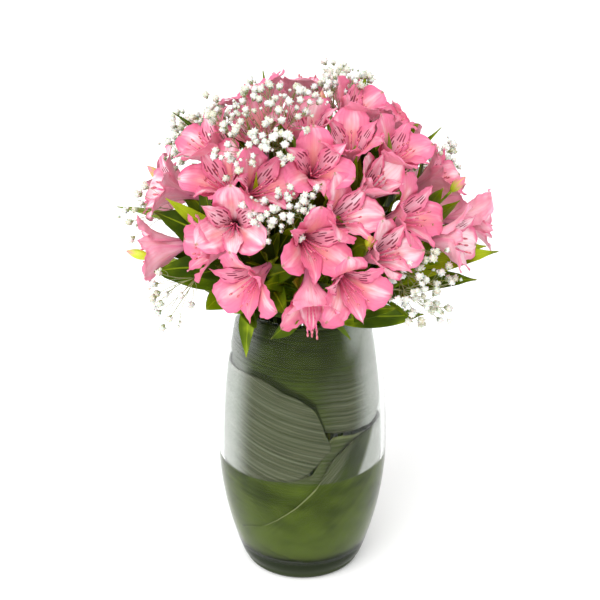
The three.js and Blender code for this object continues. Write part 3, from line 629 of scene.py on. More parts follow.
def leaf_finish(name, s, under):
    """Leaf skin with parallel veins, a pale midrib and cloudy light and dark greens."""
    f = Finish(name)
    across, along = f.across_along()
    tone, edge = f.tone(), abs(across)
    cloud = f.noise(*f.place(), 0.045)
    fibre = f.noise(across * 22.0, along * 1.6, tone * 5.0, 1.7, 2.0, 0.6)
    veins = (across * 38.0 + fibre).sine().smooth(0.3, 1.0)
    light, dark = (s.under, s.leaf) if under else (s.leaf_light, s.leaf_dark)
    body = (cloud * 1.3 + fibre * 0.35 + tone * 0.5 - 0.42).smooth(0.0, 0.9)
    colour = f.layered(
        dark, (s.leaf, body), (light, body.smooth(0.45, 1.0) * 0.8), (dark, veins * 0.28),
        (s.leaf_light, edge.smooth(0.09, 0.0) * 0.55), (s.tip, along.smooth(0.94, 1.0) * 0.35))
    return f.close(
        base_color=colour, roughness=fibre * 0.12 + (0.5 if under else 0.4),
        normal=f.bump(veins * 0.6 + fibre * 0.5, 0.3, 0.0005), specular_ior_level=0.08,
        through=s.through, share=0.12)


def stalk_finish(name, s, ribs):
    """Stems and ovaries: green, ribbed along, with paler and darker stretches."""
    f = Finish(name)
    across, along = f.across_along()
    cloud = f.noise(*f.place(), 0.06)
    streak = f.noise(across * 12.0, along * 2.0, cloud, 1.5)
    lines = (across * (3.1416 * ribs)).sine().smooth(-0.2, 1.0)
    colour = f.layered(s.leaf, (s.leaf_light, cloud.smooth(0.35, 0.7)),
                       (s.leaf_dark, lines * 0.45))
    return f.close(base_color=colour, roughness=streak * 0.15 + 0.42,
                   normal=f.bump(lines + streak * 0.4, 0.35, 0.0005), soft=0.06)


def bud_finish(name, s, pink):
    """A closed bud: olive green, turning pink towards its tip between green ribs."""
    f = Finish(name)
    across, along = f.across_along()
    tone = f.tone()
    fibre = f.noise(across * 9.0, along * 1.4, tone * 3.0, 1.6)
    ribs = (across * 9.42).sine().smooth(0.2, 1.0)
    blush = (along * 1.3 + fibre * 0.5 + tone * 0.5 - 0.6).smooth(0.2, 0.9)
    colour = f.layered(s.leaf_light, (pink, blush * (1 - ribs * 0.5)),
                       (s.tip, along.smooth(0.88, 1.0) * 0.6))
    return f.close(base_color=colour, roughness=fibre * 0.1 + 0.4,
                   normal=f.bump(ribs + fibre, 0.35, 0.0005), soft=0.1)


def petal_ball_finish(name, s):
    """Gypsophila flowers: white, with the hollows between petals painted a shaded cream and
    faint green.
    """
    f = Finish(name)
    frill = f.noise(*f.place(), 1.1, 3.0, 0.65)
    white = (frill + f.tone() * 0.12).smooth(0.28, 0.55)
    # Painted shade: where the noise is low, the hollows between petals take the shaded cream.
    return f.close(base_color=f.layered(s.hollow, (s.white, white)),
                   roughness=frill * 0.2 + 0.5, normal=f.bump(frill, 0.7, 0.001), soft=0.2)


def lining_finish(name, s, leaf):
    """A broad leaf against glass. Below the water it is clear, dark and saturated. Above
    it a painted grey reflection veils the dry skin, save where the glass is wet, and
    droplets with a painted white reflection whiten its sides. Its veins run along it, and
    a pale line follows its upper edge. The highest leaf has a painted shadow along the
    middle one's edge and painted shade towards its top, and the lowest right one has a
    clear, wet strip darkened by painted shade, with a painted white reflection beside it."""
    f = Finish(name)
    z, azimuth = f.place()[2], f.azimuth()
    across, _ = f.across_along()
    upper, lowest = name == "lining_leaf_upper", name == "lining_leaf_lower_right"
    run = z - azimuth * leaf["lean"]
    cloud = f.noise(azimuth * 0.5, z * 0.7, 3.0 * leaf["layer"], 0.07, 3.0)
    fine = f.noise(azimuth * 0.012, run * 1.5, 0.0, 1.0, 3.0, 0.6)
    band = f.noise(azimuth * 0.006, run * 0.42, 5.0, 1.0, 2.0, 0.4)
    beads = f.noise(azimuth, z, 1.0, 1.4, 2.0, 0.7).smooth(0.4, 0.6)
    level = s.water_level / MM
    air = z.smooth(level - 0.6, level + 0.6)
    aside = abs(azimuth)
    # Droplets and painted reflection: the sides, where the glass curves away, whiten as if the
    # glass reflected the white room.
    dew_and_reflection = aside.band(38.0, 62.0, 82.0, 108.0) * (1.0 - azimuth.smooth(66.0, 84.0) * 0.3)
    # How much painted grey reflection veils the dry leaf above the water.
    dry = 0.9 if name == "lining_leaf_middle" else 0.5
    line = azimuth.smooth(2.0, 12.0) * 0.5
    marks = []
    if upper:
        dry = azimuth.smooth(2.0, 30.0) * z.smooth(224.0, 178.0) * 0.75 + 0.08
        dew_and_reflection = (z.smooth(205.0, 235.0) * aside.smooth(30.0, 50.0)).at_least(dew_and_reflection)
        edge = (184.0 - azimuth * 0.5).at_most(199.0).at_most(
            184.0 - azimuth * 0.9).at_most(209.0 - azimuth * 3.4)
        # Painted shadow along the middle leaf's top edge, and painted shade darkening towards
        # the top.
        shade = (z - edge).band(-4.0, 0.0, 3.0, 10.0) * azimuth.band(-62.0, -40.0, 16.0, 20.0)
        dim = fine.smooth(0.42, 0.6) * 0.35 + z.smooth(175.0, 225.0) * 0.5
        shade = shade.at_least(dim.at_most(0.85) * azimuth.smooth(46.0, 20.0))
        marks = [(s.gap, shade * 0.85)]
    elif lowest:
        # The wet strip is darkened by painted shade, and the white patch to its right is
        # painted reflection.
        clear = azimuth - 32.0 - (z - 105.0) * 0.42
        dry = 0.75 * clear.smooth(-4.0, -12.0) + clear.smooth(8.0, 12.0) * 0.9
        dew_and_reflection = clear.smooth(8.0, 14.0) * azimuth.smooth(108.0, 82.0)
        marks = [(s.gap, clear.band(-14.0, -4.0, 7.0, 10.0) * air * 0.5)]
        line = azimuth.band(-34.0, -26.0, 8.0, 14.0)
    # Painted reflection: a grey veil over the dry leaf above the water, where the glass has air
    # behind it.
    frost_reflection = (dry * air * (cloud * 0.6 + 0.66)).at_most(1.0)
    veins = (run * 1.6 + band * 2.2).sine().smooth(0.3, 1.0)
    deep = cloud * 1.3 + band * 0.5 - 0.5 + z.smooth(95.0, 25.0) * 0.35
    wet = f.layered(s.wet_dark, (s.wet, deep.smooth(0.0, 0.8)),
                    (s.wet_dark, fine.smooth(0.5, 0.75) * 0.45),
                    (s.gap, veins * (0.45 if upper else 0.08)))
    grey = f.layered(s.dry, (s.dry_dark, (band * 1.2 + cloud * 0.3 - 0.42).smooth(0.1, 0.6)),
                     (s.dry_dark, fine.smooth(0.48, 0.7) * 0.5),
                     (s.dry_dark, veins * 0.65 * (0.5 + cloud).at_most(1.0)))
    scratch = f.noise(azimuth * 0.09, run * 1.6, 9.0, 1.0).smooth(0.72, 0.77)
    colour = f.layered(
        wet, (grey, frost_reflection), (s.dew_and_reflection, dew_and_reflection * air * (0.6 + beads * 0.35)), *marks,
        (s.edge, across.band(-0.062, -0.056, 0.0, 0.03) * line * 0.75),
        (s.scratch, scratch * 0.7))
    return f.close(base_color=colour, roughness=0.5 + frost_reflection * 0.3,
                   normal=f.bump(fine + band, 0.25, 0.0008), specular_ior_level=0.05)


def glass_finish(name, s):
    """Clear glass that refracts. Below the water its inner wall is left out, because water
    bends light almost as glass does, so the leaves there reach out to the glass's edge.
    Above the water the wall has air behind it, and its tint is painted grey where it curves
    away."""
    f = Finish(name)
    x, y, z = f.place()
    _, along = f.across_along()
    level = s.water_level / MM
    streak = f.noise(x * 0.02, y * 0.02, z * 0.3, 0.6)
    facing = f.node("ShaderNodeLayerWeight", {"Blend": 0.5}, "Facing")
    # Painted shade: the tint greys at the silhouette, where the wall curves away.
    tint = f.layered(s.glass, ((1.0, 1.0, 1.0), streak),
                     (s.glass_edge_shade, facing.smooth(0.72, 0.98) * 0.8))
    wall = f.principled(base_color=tint, ior=1.35, roughness=streak * 0.02,
                        transmission_weight=1.0, specular_tint=(0.15, 0.15, 0.15))
    wet = along.smooth(0.52, 0.54) * z.smooth(level + 0.5, level - 0.5)
    upper = f.blend(wet, wall, f.node("ShaderNodeBsdfTransparent"))
    # The foot is opaque: its dark grey-green is a painted image of shaded leaves seen through
    # thick glass, and its heel is painted lighter.
    thick = f.principled(
        base_color=f.layered(s.foot, (s.heel_painted_light, z.smooth(17.0, 3.0) * 0.8)),
        roughness=streak * 0.1 + 0.1, specular_ior_level=0.03)
    return f.end(f.blend(z.smooth(30.0, 17.0) * along.smooth(0.5, 0.48), upper, thick))


def water_finish(name, s):
    """Clear water with a faint green cast."""
    f = Finish(name)
    x, y, _ = f.place()
    ripple = f.noise(x, y, 0.0, 0.05)
    return f.close(base_color=f.layered(s.water, (s.wet, ripple * 0.3)), roughness=0.03,
                   alpha=ripple * 0.1 + 0.22, specular_ior_level=0.5)


def floor_finish(name, s):
    """A pale, very faintly clouded floor."""
    f = Finish(name)
    cloud = f.noise(*f.place(), 0.004)
    shade = tuple(0.985 * c for c in s.floor)
    return f.close(base_color=f.layered(s.floor, (shade, cloud)), roughness=cloud * 0.1 + 0.6,
                   specular_ior_level=0.2, emission_color=(1.0, 1.0, 1.0),
                   emission_strength=0.12)


# ------------------------------------------------------------------ settings

def tint_setting(name, description, *value):
    """A colour that the sidebar shows."""
    return bpy.props.FloatVectorProperty(
        name=name, description=description, subtype="COLOR", size=3, min=0.0, max=1.0,
        default=value)


def length_setting(name, description, value, low, high):
    """A length in metres between two limits."""
    return bpy.props.FloatProperty(name=name, description=description, default=value,
                                   min=low, max=high, unit="LENGTH")


class BOUQUET_PG_vase(bpy.types.PropertyGroup):
    """Glass, water and the leaves that line the glass."""

    water_level: length_setting("Water level", "Height of the water above the table",
                                0.107, 0.03, 0.2)
    glass: tint_setting("Glass", "Tint of the glass", 0.8, 0.84, 0.81)
    # Painted shade where the glass curves away.
    glass_edge_shade: tint_setting("Glass edge", "Tint where it curves away", 0.4, 0.44, 0.42)
    foot: tint_setting("Foot", "Colour gathered by the thick foot", 0.016, 0.022, 0.010)
    # Painted light in the foot's heel.
    heel_painted_light: tint_setting("Foot, light", "The foot's brighter heel", 0.04, 0.052, 0.024)
    water: tint_setting("Water", "Tint of the water", 0.6, 0.75, 0.62)
    wet: tint_setting("Wet leaf", "Leaf seen through wet glass", 0.115, 0.165, 0.02)
    wet_dark: tint_setting("Wet leaf, dark", "Its darker parts", 0.034, 0.05, 0.006)
    # Painted grey reflection over the dry leaf.
    dry: tint_setting("Dry leaf", "Frosted look of dry leaf", 0.22, 0.23, 0.15)
    dry_dark: tint_setting("Dry leaf, dark", "Its darker veins", 0.075, 0.08, 0.045)
    # Droplets and a painted white reflection on the glass's sides.
    dew_and_reflection: tint_setting("Dew", "Droplets on the inside of the glass", 0.72, 0.74, 0.7)
    scratch: tint_setting("Scratches", "Small tan scratches", 0.3, 0.22, 0.1)
    # Dark veins, and the painted shade between leaves.
    gap: tint_setting("Gap", "Dark line between two leaves", 0.016, 0.022, 0.006)
    edge: tint_setting("Leaf edge", "Pale edge of the lowest leaf", 0.42, 0.46, 0.2)


class BOUQUET_PG_bloom(bpy.types.PropertyGroup):
    """Alstroemeria blooms."""

    thickness: length_setting("Tepal thickness", "Thickness of a tepal in its middle",
                              0.0006, 0.0002, 0.002)
    ruffle: length_setting("Ruffle", "How far the edges wave", 0.0013, 0.0, 0.004)
    pale: tint_setting("Pale pink", "Lightest part of a tepal", 0.96, 0.78, 0.82)
    through: tint_setting("Light through", "Colour of light through a tepal", 0.97, 0.36, 0.52)
    pink: tint_setting("Pink", "Body of a tepal", 0.8, 0.2, 0.33)
    # Painted light: the backs' colour and faint glow stand in for light through the tepal.
    back: tint_setting("Back", "Tepal backs, lit from within", 0.95, 0.4, 0.54)
    deep: tint_setting("Deep pink", "Edges and veins", 0.72, 0.085, 0.27)
    flush: tint_setting("Flush", "Salmon flush along the middle", 0.9, 0.42, 0.28)
    cream: tint_setting("Cream", "Streak along a midrib", 0.9, 0.7, 0.42)
    ground: tint_setting("Ground", "Paler ground under the stripes", 0.86, 0.5, 0.6)
    stripe: tint_setting("Stripe", "Dashes on the inner tepals", 0.2, 0.01, 0.045)
    # Painted shade: plum deep in the bloom.
    throat: tint_setting("Throat", "Plum shade deep in the bloom", 0.3, 0.05, 0.12)
    tip_mark: tint_setting("Tip mark", "Green mark at a tepal's tip", 0.3, 0.22, 0.07)
    filament: tint_setting("Filament", "Stamen threads", 0.86, 0.24, 0.38)
    anther: tint_setting("Anther", "Anthers", 0.8, 0.24, 0.28)


class BOUQUET_PG_leaf(bpy.types.PropertyGroup):
    """Leaves, stems and buds."""

    thickness: length_setting("Leaf thickness", "Thickness of a leaf in its middle",
                              0.0007, 0.0002, 0.003)
    inner_leaves: bpy.props.IntProperty(
        name="Inner leaves", description="Leaves of each stem that end below the flowers",
        default=22, min=0, max=30)
    leaf: tint_setting("Leaf", "Body of a leaf", 0.18, 0.28, 0.003)
    through: tint_setting("Light through", "Colour of light through a leaf", 0.5, 0.6, 0.02)
    leaf_light: tint_setting("Leaf, light", "Lit and young parts", 0.5, 0.62, 0.02)
    leaf_dark: tint_setting("Leaf, dark", "Veins and shade", 0.03, 0.06, 0.003)
    under: tint_setting("Underside", "Paler underside", 0.24, 0.37, 0.06)
    tip: tint_setting("Tip", "Dry tips", 0.3, 0.25, 0.08)


class BOUQUET_PG_spray(bpy.types.PropertyGroup):
    """Gypsophila sprays."""

    head: length_setting("Head radius", "Radius of a flower head", 0.0028, 0.001, 0.006)
    fullness: bpy.props.FloatProperty(
        name="Fullness", description="Share of the side heads that are grown",
        default=1.0, min=0.0, max=1.5, subtype="FACTOR")
    white: tint_setting("White", "Petals", 0.92, 0.92, 0.86)
    # Painted shade in the hollows between petals.
    hollow: tint_setting("Hollows", "Shade between petals", 0.6, 0.61, 0.4)
    twig: tint_setting("Twig", "Twigs and calyces", 0.32, 0.36, 0.15)
    twig_dark: tint_setting("Twig, dark", "Darker twigs", 0.19, 0.2, 0.08)


class BOUQUET_PG_stage(bpy.types.PropertyGroup):
    """Floor, light and camera."""

    floor: tint_setting("Floor", "Floor colour", 0.93, 0.93, 0.93)
    sky: bpy.props.FloatProperty(
        name="Sky", description="Strength of the even white light", default=1.0, min=0.0)
    sun: bpy.props.FloatProperty(
        name="Key light", description="Strength of the soft key light", default=2.3, min=0.0)
    lens: bpy.props.FloatProperty(
        name="Lens", description="Focal length of the camera in millimetres", default=102.0,
        min=20.0, max=300.0, unit="CAMERA")


# ------------------------------------------------------------------ vase, water and lining

def vase_profile():
    """Radius and height from the foot up the outside, over the rim and down the inside."""
    turn = np.linspace(0, np.pi / 2, 7)
    heel_r, heel_z = 45 + 6.2 * np.sin(turn), 6.5 * (1 - np.cos(turn))
    up = np.linspace(9, VASE["height"] - 2, 40)
    lip = np.linspace(0, np.pi, 9)[1:-1]
    middle = float(outer_radius(VASE["height"])) - VASE["wall"] / 2
    half = VASE["wall"] / 2
    lip_r = middle + half * np.cos(lip)
    lip_z = VASE["height"] - half + half * np.sin(lip)
    down = np.linspace(VASE["height"] - 2, 22, 40)
    floor_r = inner_radius(22.0) - 9 * (1 - np.cos(turn))
    floor_z = 22 - (22 - VASE["base"]) * np.sin(turn)
    radii = np.concatenate([[30.0], heel_r, outer_radius(up), lip_r, inner_radius(down),
                            floor_r[1:], [25.0]])
    heights = np.concatenate([[0.0], heel_z, up, lip_z, down, floor_z[1:], [VASE["base"]]])
    return radii, heights


def ragged(azimuth, phase, size):
    """A sum of three sines of the azimuth, which makes a leaf's edge uneven."""
    a = np.radians(azimuth)
    return size * (np.sin(9 * a + phase) + 0.6 * np.sin(23 * a + 2 * phase)
                   + 0.35 * np.sin(51 * a + 3 * phase))


def edge_height(corners, azimuth):
    """Straight stretches between corners, rounded by averaging over eight degrees."""
    at, height = np.array(corners, float).T
    return np.mean([np.interp(azimuth + step, at, height)
                    for step in (-4, -2, 0, 2, 4)], axis=0)


def lining_rings(leaf, phase):
    """Rings round a sheet inside the glass: up its outer face and down its inner one, at
    each azimuth. The radius is the glass's inner one less the leaf's depth, and the upper
    leaf lies against the glass where no other leaf is before it."""
    azimuth = np.linspace(leaf["from"], leaf["to"], 150)
    low, high = (edge_height(leaf[edge], azimuth) for edge in ("bottom", "top"))
    low = low + np.where(low > 30, ragged(azimuth, phase, 0.35), 0)
    high = np.maximum(high + np.where(high < 240, ragged(azimuth, phase + 1, 0.35), 0),
                      low + 0.5)
    share = np.linspace(0, 1, 24)
    z = low[:, None] + (high - low)[:, None] * np.concatenate([share, share[::-1]])
    inside = np.repeat([0, LINING_THICK], 24)
    near = smooth(24, 34, azimuth)[:, None] * smooth(150, 160, z)
    depth = LINING_FIRST + leaf["layer"] * LINING_NEXT * (
        1 - np.maximum(smooth(200, 212, z), near))
    radius = inner_radius(z) - depth - inside
    radius = radius - 0.12 * (1 + np.sin(np.radians(azimuth) * 7 + phase))[:, None]
    a = np.radians(azimuth)[:, None]
    return np.stack([np.sin(a) * radius, -np.cos(a) * radius, z], -1)


class BOUQUET_OT_vase(bpy.types.Operator):
    """Turns the glass vase"""

    bl_idname = "bouquet.vase"
    bl_label = "Glass Vase"

    def execute(self, context):
        rings = lathe(*vase_profile(), 144)
        skin = Skin()
        skin.add(rings, foot=np.array([0, 0, 0.0]), tip=np.array([0, 0, VASE["base"]]))
        finish = glass_finish("vase_glass", context.scene.bouquet_vase)
        settle(skin.build("glass_vase", [finish]), "vase")
        return {"FINISHED"}


class BOUQUET_OT_water(bpy.types.Operator):
    """Fills the vase with water"""

    bl_idname = "bouquet.water"
    bl_label = "Water"

    def execute(self, context):
        s = context.scene.bouquet_vase
        level = s.water_level / MM
        z = np.concatenate([[14.4, 14.6], np.linspace(20, level - 2, 16), [level] * 3])
        inset = np.concatenate([[14, 12], np.full(len(z) - 4, 5.4), [8, 20]])
        rings = lathe(inner_radius(z) - inset, z, 96)
        rings[-3, :, 2] += 0.4
        skin = Skin()
        skin.add(rings, foot=np.array([0, 0, 14.4]), tip=np.array([0, 0, level]))
        settle(skin.build("vase_water", [water_finish("clear_water", s)]), "water")
        return {"FINISHED"}


class BOUQUET_OT_lining(bpy.types.Operator):
    """Lays the broad leaves inside the glass"""

    bl_idname = "bouquet.lining"
    bl_label = "Lining Leaves"

    def execute(self, context):
        s = context.scene.bouquet_vase
        for phase, (node, leaf) in enumerate(LINING.items()):
            skin = Skin()
            skin.add(lining_rings(leaf, phase))
            piece = skin.build(f"{node}_sheet", [lining_finish(node, s, leaf)])
            settle(piece, node)
        return {"FINISHED"}


# ------------------------------------------------------------------ blooms

def bloom_frame(bloom):
    """The turn and the seat of a bloom: its axis points out of its mouth, and its up
    stays uppermost before the roll."""
    azimuth, height, distance, face_azimuth, face_height, roll = bloom[:6]
    axis = direction(face_azimuth, face_height)
    side = direction(face_azimuth + 90, 0)
    up = np.cross(axis, side)
    seat = on_dome(azimuth, height, distance) - axis * SEAT_DEPTH
    r = np.radians(roll)
    across, over = side * np.cos(r) + up * np.sin(r), up * np.cos(r) - side * np.sin(r)
    return np.stack([across, over, axis]), seat


def whorl(k):
    """The kind of the tepal with a number, and its direction about the axis."""
    return INNER if k % 2 else OUTER, math.radians(90 + 60 * k)


def tepal_width(kind, share):
    """The half width: narrow in the claw, broad past the middle, blunt or pointed."""
    if kind is OUTER:
        end = np.clip((share - 0.68) / 0.32, 0, 1)
        return kind["half"] * (0.12 + 0.88 * smooth(0.12, 0.66, share)) * np.sqrt(
            1 - end ** 2.6)
    end = np.clip((share - 0.6) / 0.4, 0, 1)
    return kind["half"] * (0.18 + 0.82 * smooth(0.1, 0.62, share)) * (1 - end ** 1.7)


def tepal_line(k, opening, steps):
    """The midrib leaves along the axis and curls out. Its angle from the axis grows with
    the 1.6th power of the share of its length, and its points are the running sum."""
    kind, around = whorl(k)
    share = np.linspace(0, 1, steps + 1)
    angle = np.radians(8 + (kind["tip"] * opening - 8) * share ** 1.6)[:, None]
    outward = np.array([math.cos(around), math.sin(around), 0.0])
    axis = np.array([0.0, 0.0, 1.0])
    along = outward * np.sin(angle) + axis * np.cos(angle)
    face = axis * np.sin(angle) - outward * np.cos(angle)
    run = np.concatenate([np.zeros((1, 3)), np.cumsum(along[1:], 0)]) * kind["length"] / steps
    middle = outward * 2.5 + run - face * kind["back"] * smooth(0, 0.3, share)[:, None]
    return share, middle, along, face


def stamen_tips(opening):
    """Where the six stamens end: a flattened, drooping circle before the mouth."""
    around = np.radians(90 + 60 * np.arange(6))
    spread = 5 + 6 * opening
    return np.stack([spread * np.cos(around), 0.7 * spread * np.sin(around) - 7 * opening,
                     np.full(6, 46.0)], -1)


def fitted_bloom(bloom, corners):
    """The small shift, tilt and closing of a bloom whose tips lie nearest its CAD node."""
    def moved(opening, tilt, shift):
        return [*bloom[:2], bloom[2] + shift, bloom[3] + tilt[0], bloom[4] + tilt[1],
                bloom[5], bloom[6] * opening]

    def tips(*choice):
        near = moved(*choice)
        turn, seat = bloom_frame(near)
        ends = [tepal_line(k, near[6], 50)[1][-1] for k in range(6)]
        return np.concatenate([ends, stamen_tips(near[6])]) @ turn + seat

    tilts = (0, 0), (7, 0), (-7, 0), (0, 7), (0, -7)
    choices = product((1, 0.93, 0.86), tilts, (0, 3, -3, 6, -6))
    return moved(*nearest(choices, tips, corners))


def add_tepal(skin, k, opening, turn, seat, settings, rng, tone):
    """One tepal: a blade along the midrib, cupped across, with waved edges."""
    kind, around = whorl(k)
    opening = opening * (1 + rng.uniform(-0.05, 0.05))
    share, middle, along, face = tepal_line(k, opening, MIDRIB_STEPS)
    rows = 1 - (1 - np.linspace(0, 1, 33)[:-1]) ** 1.5
    rows = np.round(MIDRIB_STEPS * rows).astype(int)
    share, line = share[rows], middle[rows]
    half = tepal_width(kind, share)
    side = np.broadcast_to([math.sin(around), -math.cos(around), 0.0], line.shape)
    swing = rng.uniform(-1.6, 1.6) * share ** 2
    phase, waves = rng.uniform(0, 6.28), rng.uniform(2.2, 3.4)
    wave = settings.ruffle / MM * smooth(0.28, 0.8, share)
    cup = kind["cup"] * half
    half = half * (1 + 0.03 * smooth(0.35, 0.6, share) * np.sin(50 * share + 3 * phase))

    def lift(u):
        waving = np.sin(waves * 6.283 * share[:, None] + phase + 1.7 * (u > 0))
        waving = waving + 0.45 * np.sin(waves * 17 * share[:, None] + 2 * phase - 2.1 * (u > 0))
        rib = -0.35 * np.exp(-(u / 0.16) ** 2) * smooth(0.1, 0.5, share)[:, None]
        return cup[:, None] * u ** 2 + wave[:, None] * waving * np.abs(u) ** 2.2 + rib

    rings, u = blade(line + side * swing[:, None], side, face[rows], half, lift,
                     settings.thickness / MM, kind["columns"])
    tip = middle[-1] + side[-1] * swing[-1] + along[-1] * 1.2
    top = FLUSHED if kind is OUTER else PLAIN if k == LOWEST_TEPAL else STRIPED
    skin.add(rings @ turn + seat, faces_of(kind["columns"], top, BACK),
             tone + rng.uniform(-0.3, 0.3), blade_uv(u, share), tip=tip @ turn + seat)


def add_stamens(skin, opening, turn, seat, rng, tone, reach):
    """Six threads that droop out of the throat, each with its anther, and the style."""
    def thread(rings, material):
        skin.add(rings @ turn + seat, material, tone)

    axis = np.array([0, 0, 1.0])
    scale = np.array([0.8, 0.9, 1.0] if reach == 1 else [0.45, 0.6, reach])
    for k, tip in enumerate(stamen_tips(opening)):
        around = whorl(k)[1]
        root = np.array([1.2 * math.cos(around), 1.2 * math.sin(around), 1.5])
        tip = root + (tip - root) * rng.uniform(0.7, 0.9) * scale
        path = bend(root, axis, tip, unit(tip - root + [0, 3.5, 0]), 8, 0.4)
        thread(pipe(path, np.linspace(0.75, 0.42, 9), 5), FILAMENT)
        way = unit(path[-1] - path[-2] + rng.uniform(-0.35, 0.35, 3))
        body = path[-1] + way * np.linspace(-0.8, 2.6, 6)[:, None]
        thread(pipe(body, 0.85 * np.sqrt(np.sin(np.linspace(0.18, 2.96, 6))), 6), ANTHER)
    path = bend(axis, axis, np.array([0.0, -4.5, 34.0]), unit(np.array([0, -0.1, 1.0])), 8, 0.4)
    thread(pipe(path, np.linspace(0.8, 0.35, 9), 5), FILAMENT)


class BOUQUET_OT_blooms(bpy.types.Operator):
    """Grows the alstroemeria blooms"""

    bl_idname = "bouquet.blooms"
    bl_label = "Alstroemeria Blooms"

    def execute(self, context):
        s = context.scene.bouquet_bloom
        finishes = [
            tepal_finish("outer_tepal", s, "flushed"),
            tepal_finish("striped_tepal", s, "striped"),
            tepal_finish("lower_inner_tepal", s, "plain"),
            tepal_finish("tepal_back", s, "back"),
            thread_finish("filament", s.filament, s.deep),
            thread_finish("anther", s.anther, s.stripe),
        ]
        blooms = [bloom for stem in STEMS for bloom in stem["blooms"]]
        for i, bloom in enumerate(blooms):
            node = f"bloom_{i + 1:02d}"
            rng = np.random.default_rng(BLOOM_SEED + i)
            moved = fitted_bloom(bloom, node_points(node))
            turn, seat = bloom_frame(moved)
            tone = rng.uniform(-0.7, 0.7)
            skin = Skin()
            for k in range(6):
                add_tepal(skin, k, moved[6], turn, seat, s, rng, tone)
            add_stamens(skin, moved[6], turn, seat, rng, tone,
                        LONGEST_REACH if i == LONGEST_STAMENS else 1)
            settle(skin.build(f"{node}_flower", finishes), node)
        return {"FINISHED"}


# ------------------------------------------------------------------ stems

def stem_line(mouth, ends, share, straight, steps):
    """A stem's top lies a share of the way from its collar to the middle of its ends. Gives
    the top, the path, which runs straight up to the collar and then bends, and the way in
    which the stem's branches leave."""
    x, y = mouth
    foot, collar = np.array([0.6 * x, 0.6 * y, FOOT_Z]), np.array([x, y, BEND_FROM], float)
    top = collar + (ends.mean(0) - collar) * share
    lean, outward = unit(collar - foot), unit(top - SPLAY_FROM)
    curve, thirds = (bend(collar, lean, top, outward, n) for n in (steps, 3))
    path = np.concatenate([np.linspace(foot, collar, straight, endpoint=False), curve])
    return top, path, unit(thirds[-1] - thirds[-2])


def branch_root(top, leaving, target, aside):
    """A little back from the stem's end, towards the side that the branch leaves on."""
    away = target - top
    away = away - leaving * (away @ leaving)
    return top - leaving * 0.8 + unit(away) * aside


def add_fruit(skin, path, foot, axis, length, swell, lobes, depth, sides, material, tone):
    """A stalk and the swollen, lobed body that ends it: its radius is the swell, times one
    plus the depth times the cosine of the lobes round it."""
    skin.tube(path, STALK_RADIUS, 8, STALK, tone)
    angle = np.arange(sides) * 2 * np.pi / sides
    ribs = 1 + np.cos(lobes * angle)[None] * depth[:, None]
    body = foot + axis * np.linspace(0, length, len(swell))[:, None]
    skin.tube(body, swell[:, None] * ribs, sides, material, tone)


def add_stalk(skin, top, leaving, seat, axis, tone):
    """A flower stalk that swells into the six-ribbed ovary under its bloom."""
    foot = seat - axis * 0.35 - axis * OVARY
    start = branch_root(top, leaving, seat, STEM_RADIUS - STALK_RADIUS)
    share = np.linspace(0, 1, 9)
    swell = 1.1 + 1.7 * smooth(0.0, 0.75, share) - 0.3 * smooth(0.8, 1.0, share)
    add_fruit(skin, bend(start, leaving, foot, axis, 16, 0.3), foot, axis, OVARY, swell,
              6, 0.09 * smooth(0.1, 0.5, share), 24, OVARY_SKIN, tone)


def add_bud(skin, top, leaving, place, tone):
    """A closed bud: a three-ribbed spindle on a stalk of its own."""
    axis = unit(place - top)
    foot = place - axis * 20
    start = branch_root(top, leaving, place, STEM_RADIUS - STALK_RADIUS)
    share = np.linspace(0, 1, 14)
    swell = np.maximum(4.1 * np.sin(np.pi * share ** 0.95) ** 0.85, 0.25)
    add_fruit(skin, bend(start, leaving, foot + axis * 2, axis, 14, 0.3), foot, axis, BUD,
              swell, 3, np.full(14, 0.07), 18, BUD_SKIN, tone)


def leaf_line(root, leaving, leaf, sideways, pull, turn, at):
    """A leaf's midline, side, face and half width at shares of its length, and its tip.

    The midline is a quadratic Bezier curve, its side is turned about its chord, and the
    half width follows a sine of the share to the power 1.15, raised to 0.8.
    """
    tip = on_dome(*leaf[:3])
    reach = np.linalg.norm(tip - root)
    chord = unit(tip - root)
    sweep = unit(np.cross(leaving, chord)) * reach * sideways
    control = root + leaving * reach * pull + chord * reach * 0.3 + sweep
    t = at[:, None]
    middle = (1 - t) ** 2 * root + 2 * t * (1 - t) * control + t * t * tip
    along = unit((1 - t) * (control - root) + t * (tip - control))
    outward = root * 0.4 + tip * 0.6 - DOME_CENTRE + np.array([0, 0, reach * 0.6])
    across = unit(np.cross(chord, outward))
    side = turned_about(across, chord, (leaf[4] + turn) * at)
    face = unit(np.cross(side, along))
    half = leaf[3] * np.maximum(0.14, np.sin(np.pi * np.clip(at, 0, 1) ** 1.15) ** 0.8)
    return middle, side, face, half, tip


def fitted_leaf(root, leaving, leaf, corners):
    """The sweep, pull and turn of a leaf whose corners lie nearest its CAD node."""
    at = np.array([0.25, 0.62])

    def ends(turn, pull, sideways):
        middle, side, face, half, _ = leaf_line(root, leaving, leaf, sideways, pull, turn, at)
        lifted = middle + face * (half * 0.25)[:, None]
        return np.concatenate([lifted + side * half[:, None], lifted - side * half[:, None]])

    choices = product((0, 25, -25), (0.2, 0.1, 0.3, 0.4), (0, 0.12, -0.12, 0.24, -0.24))
    return nearest(choices, ends, corners)[::-1]


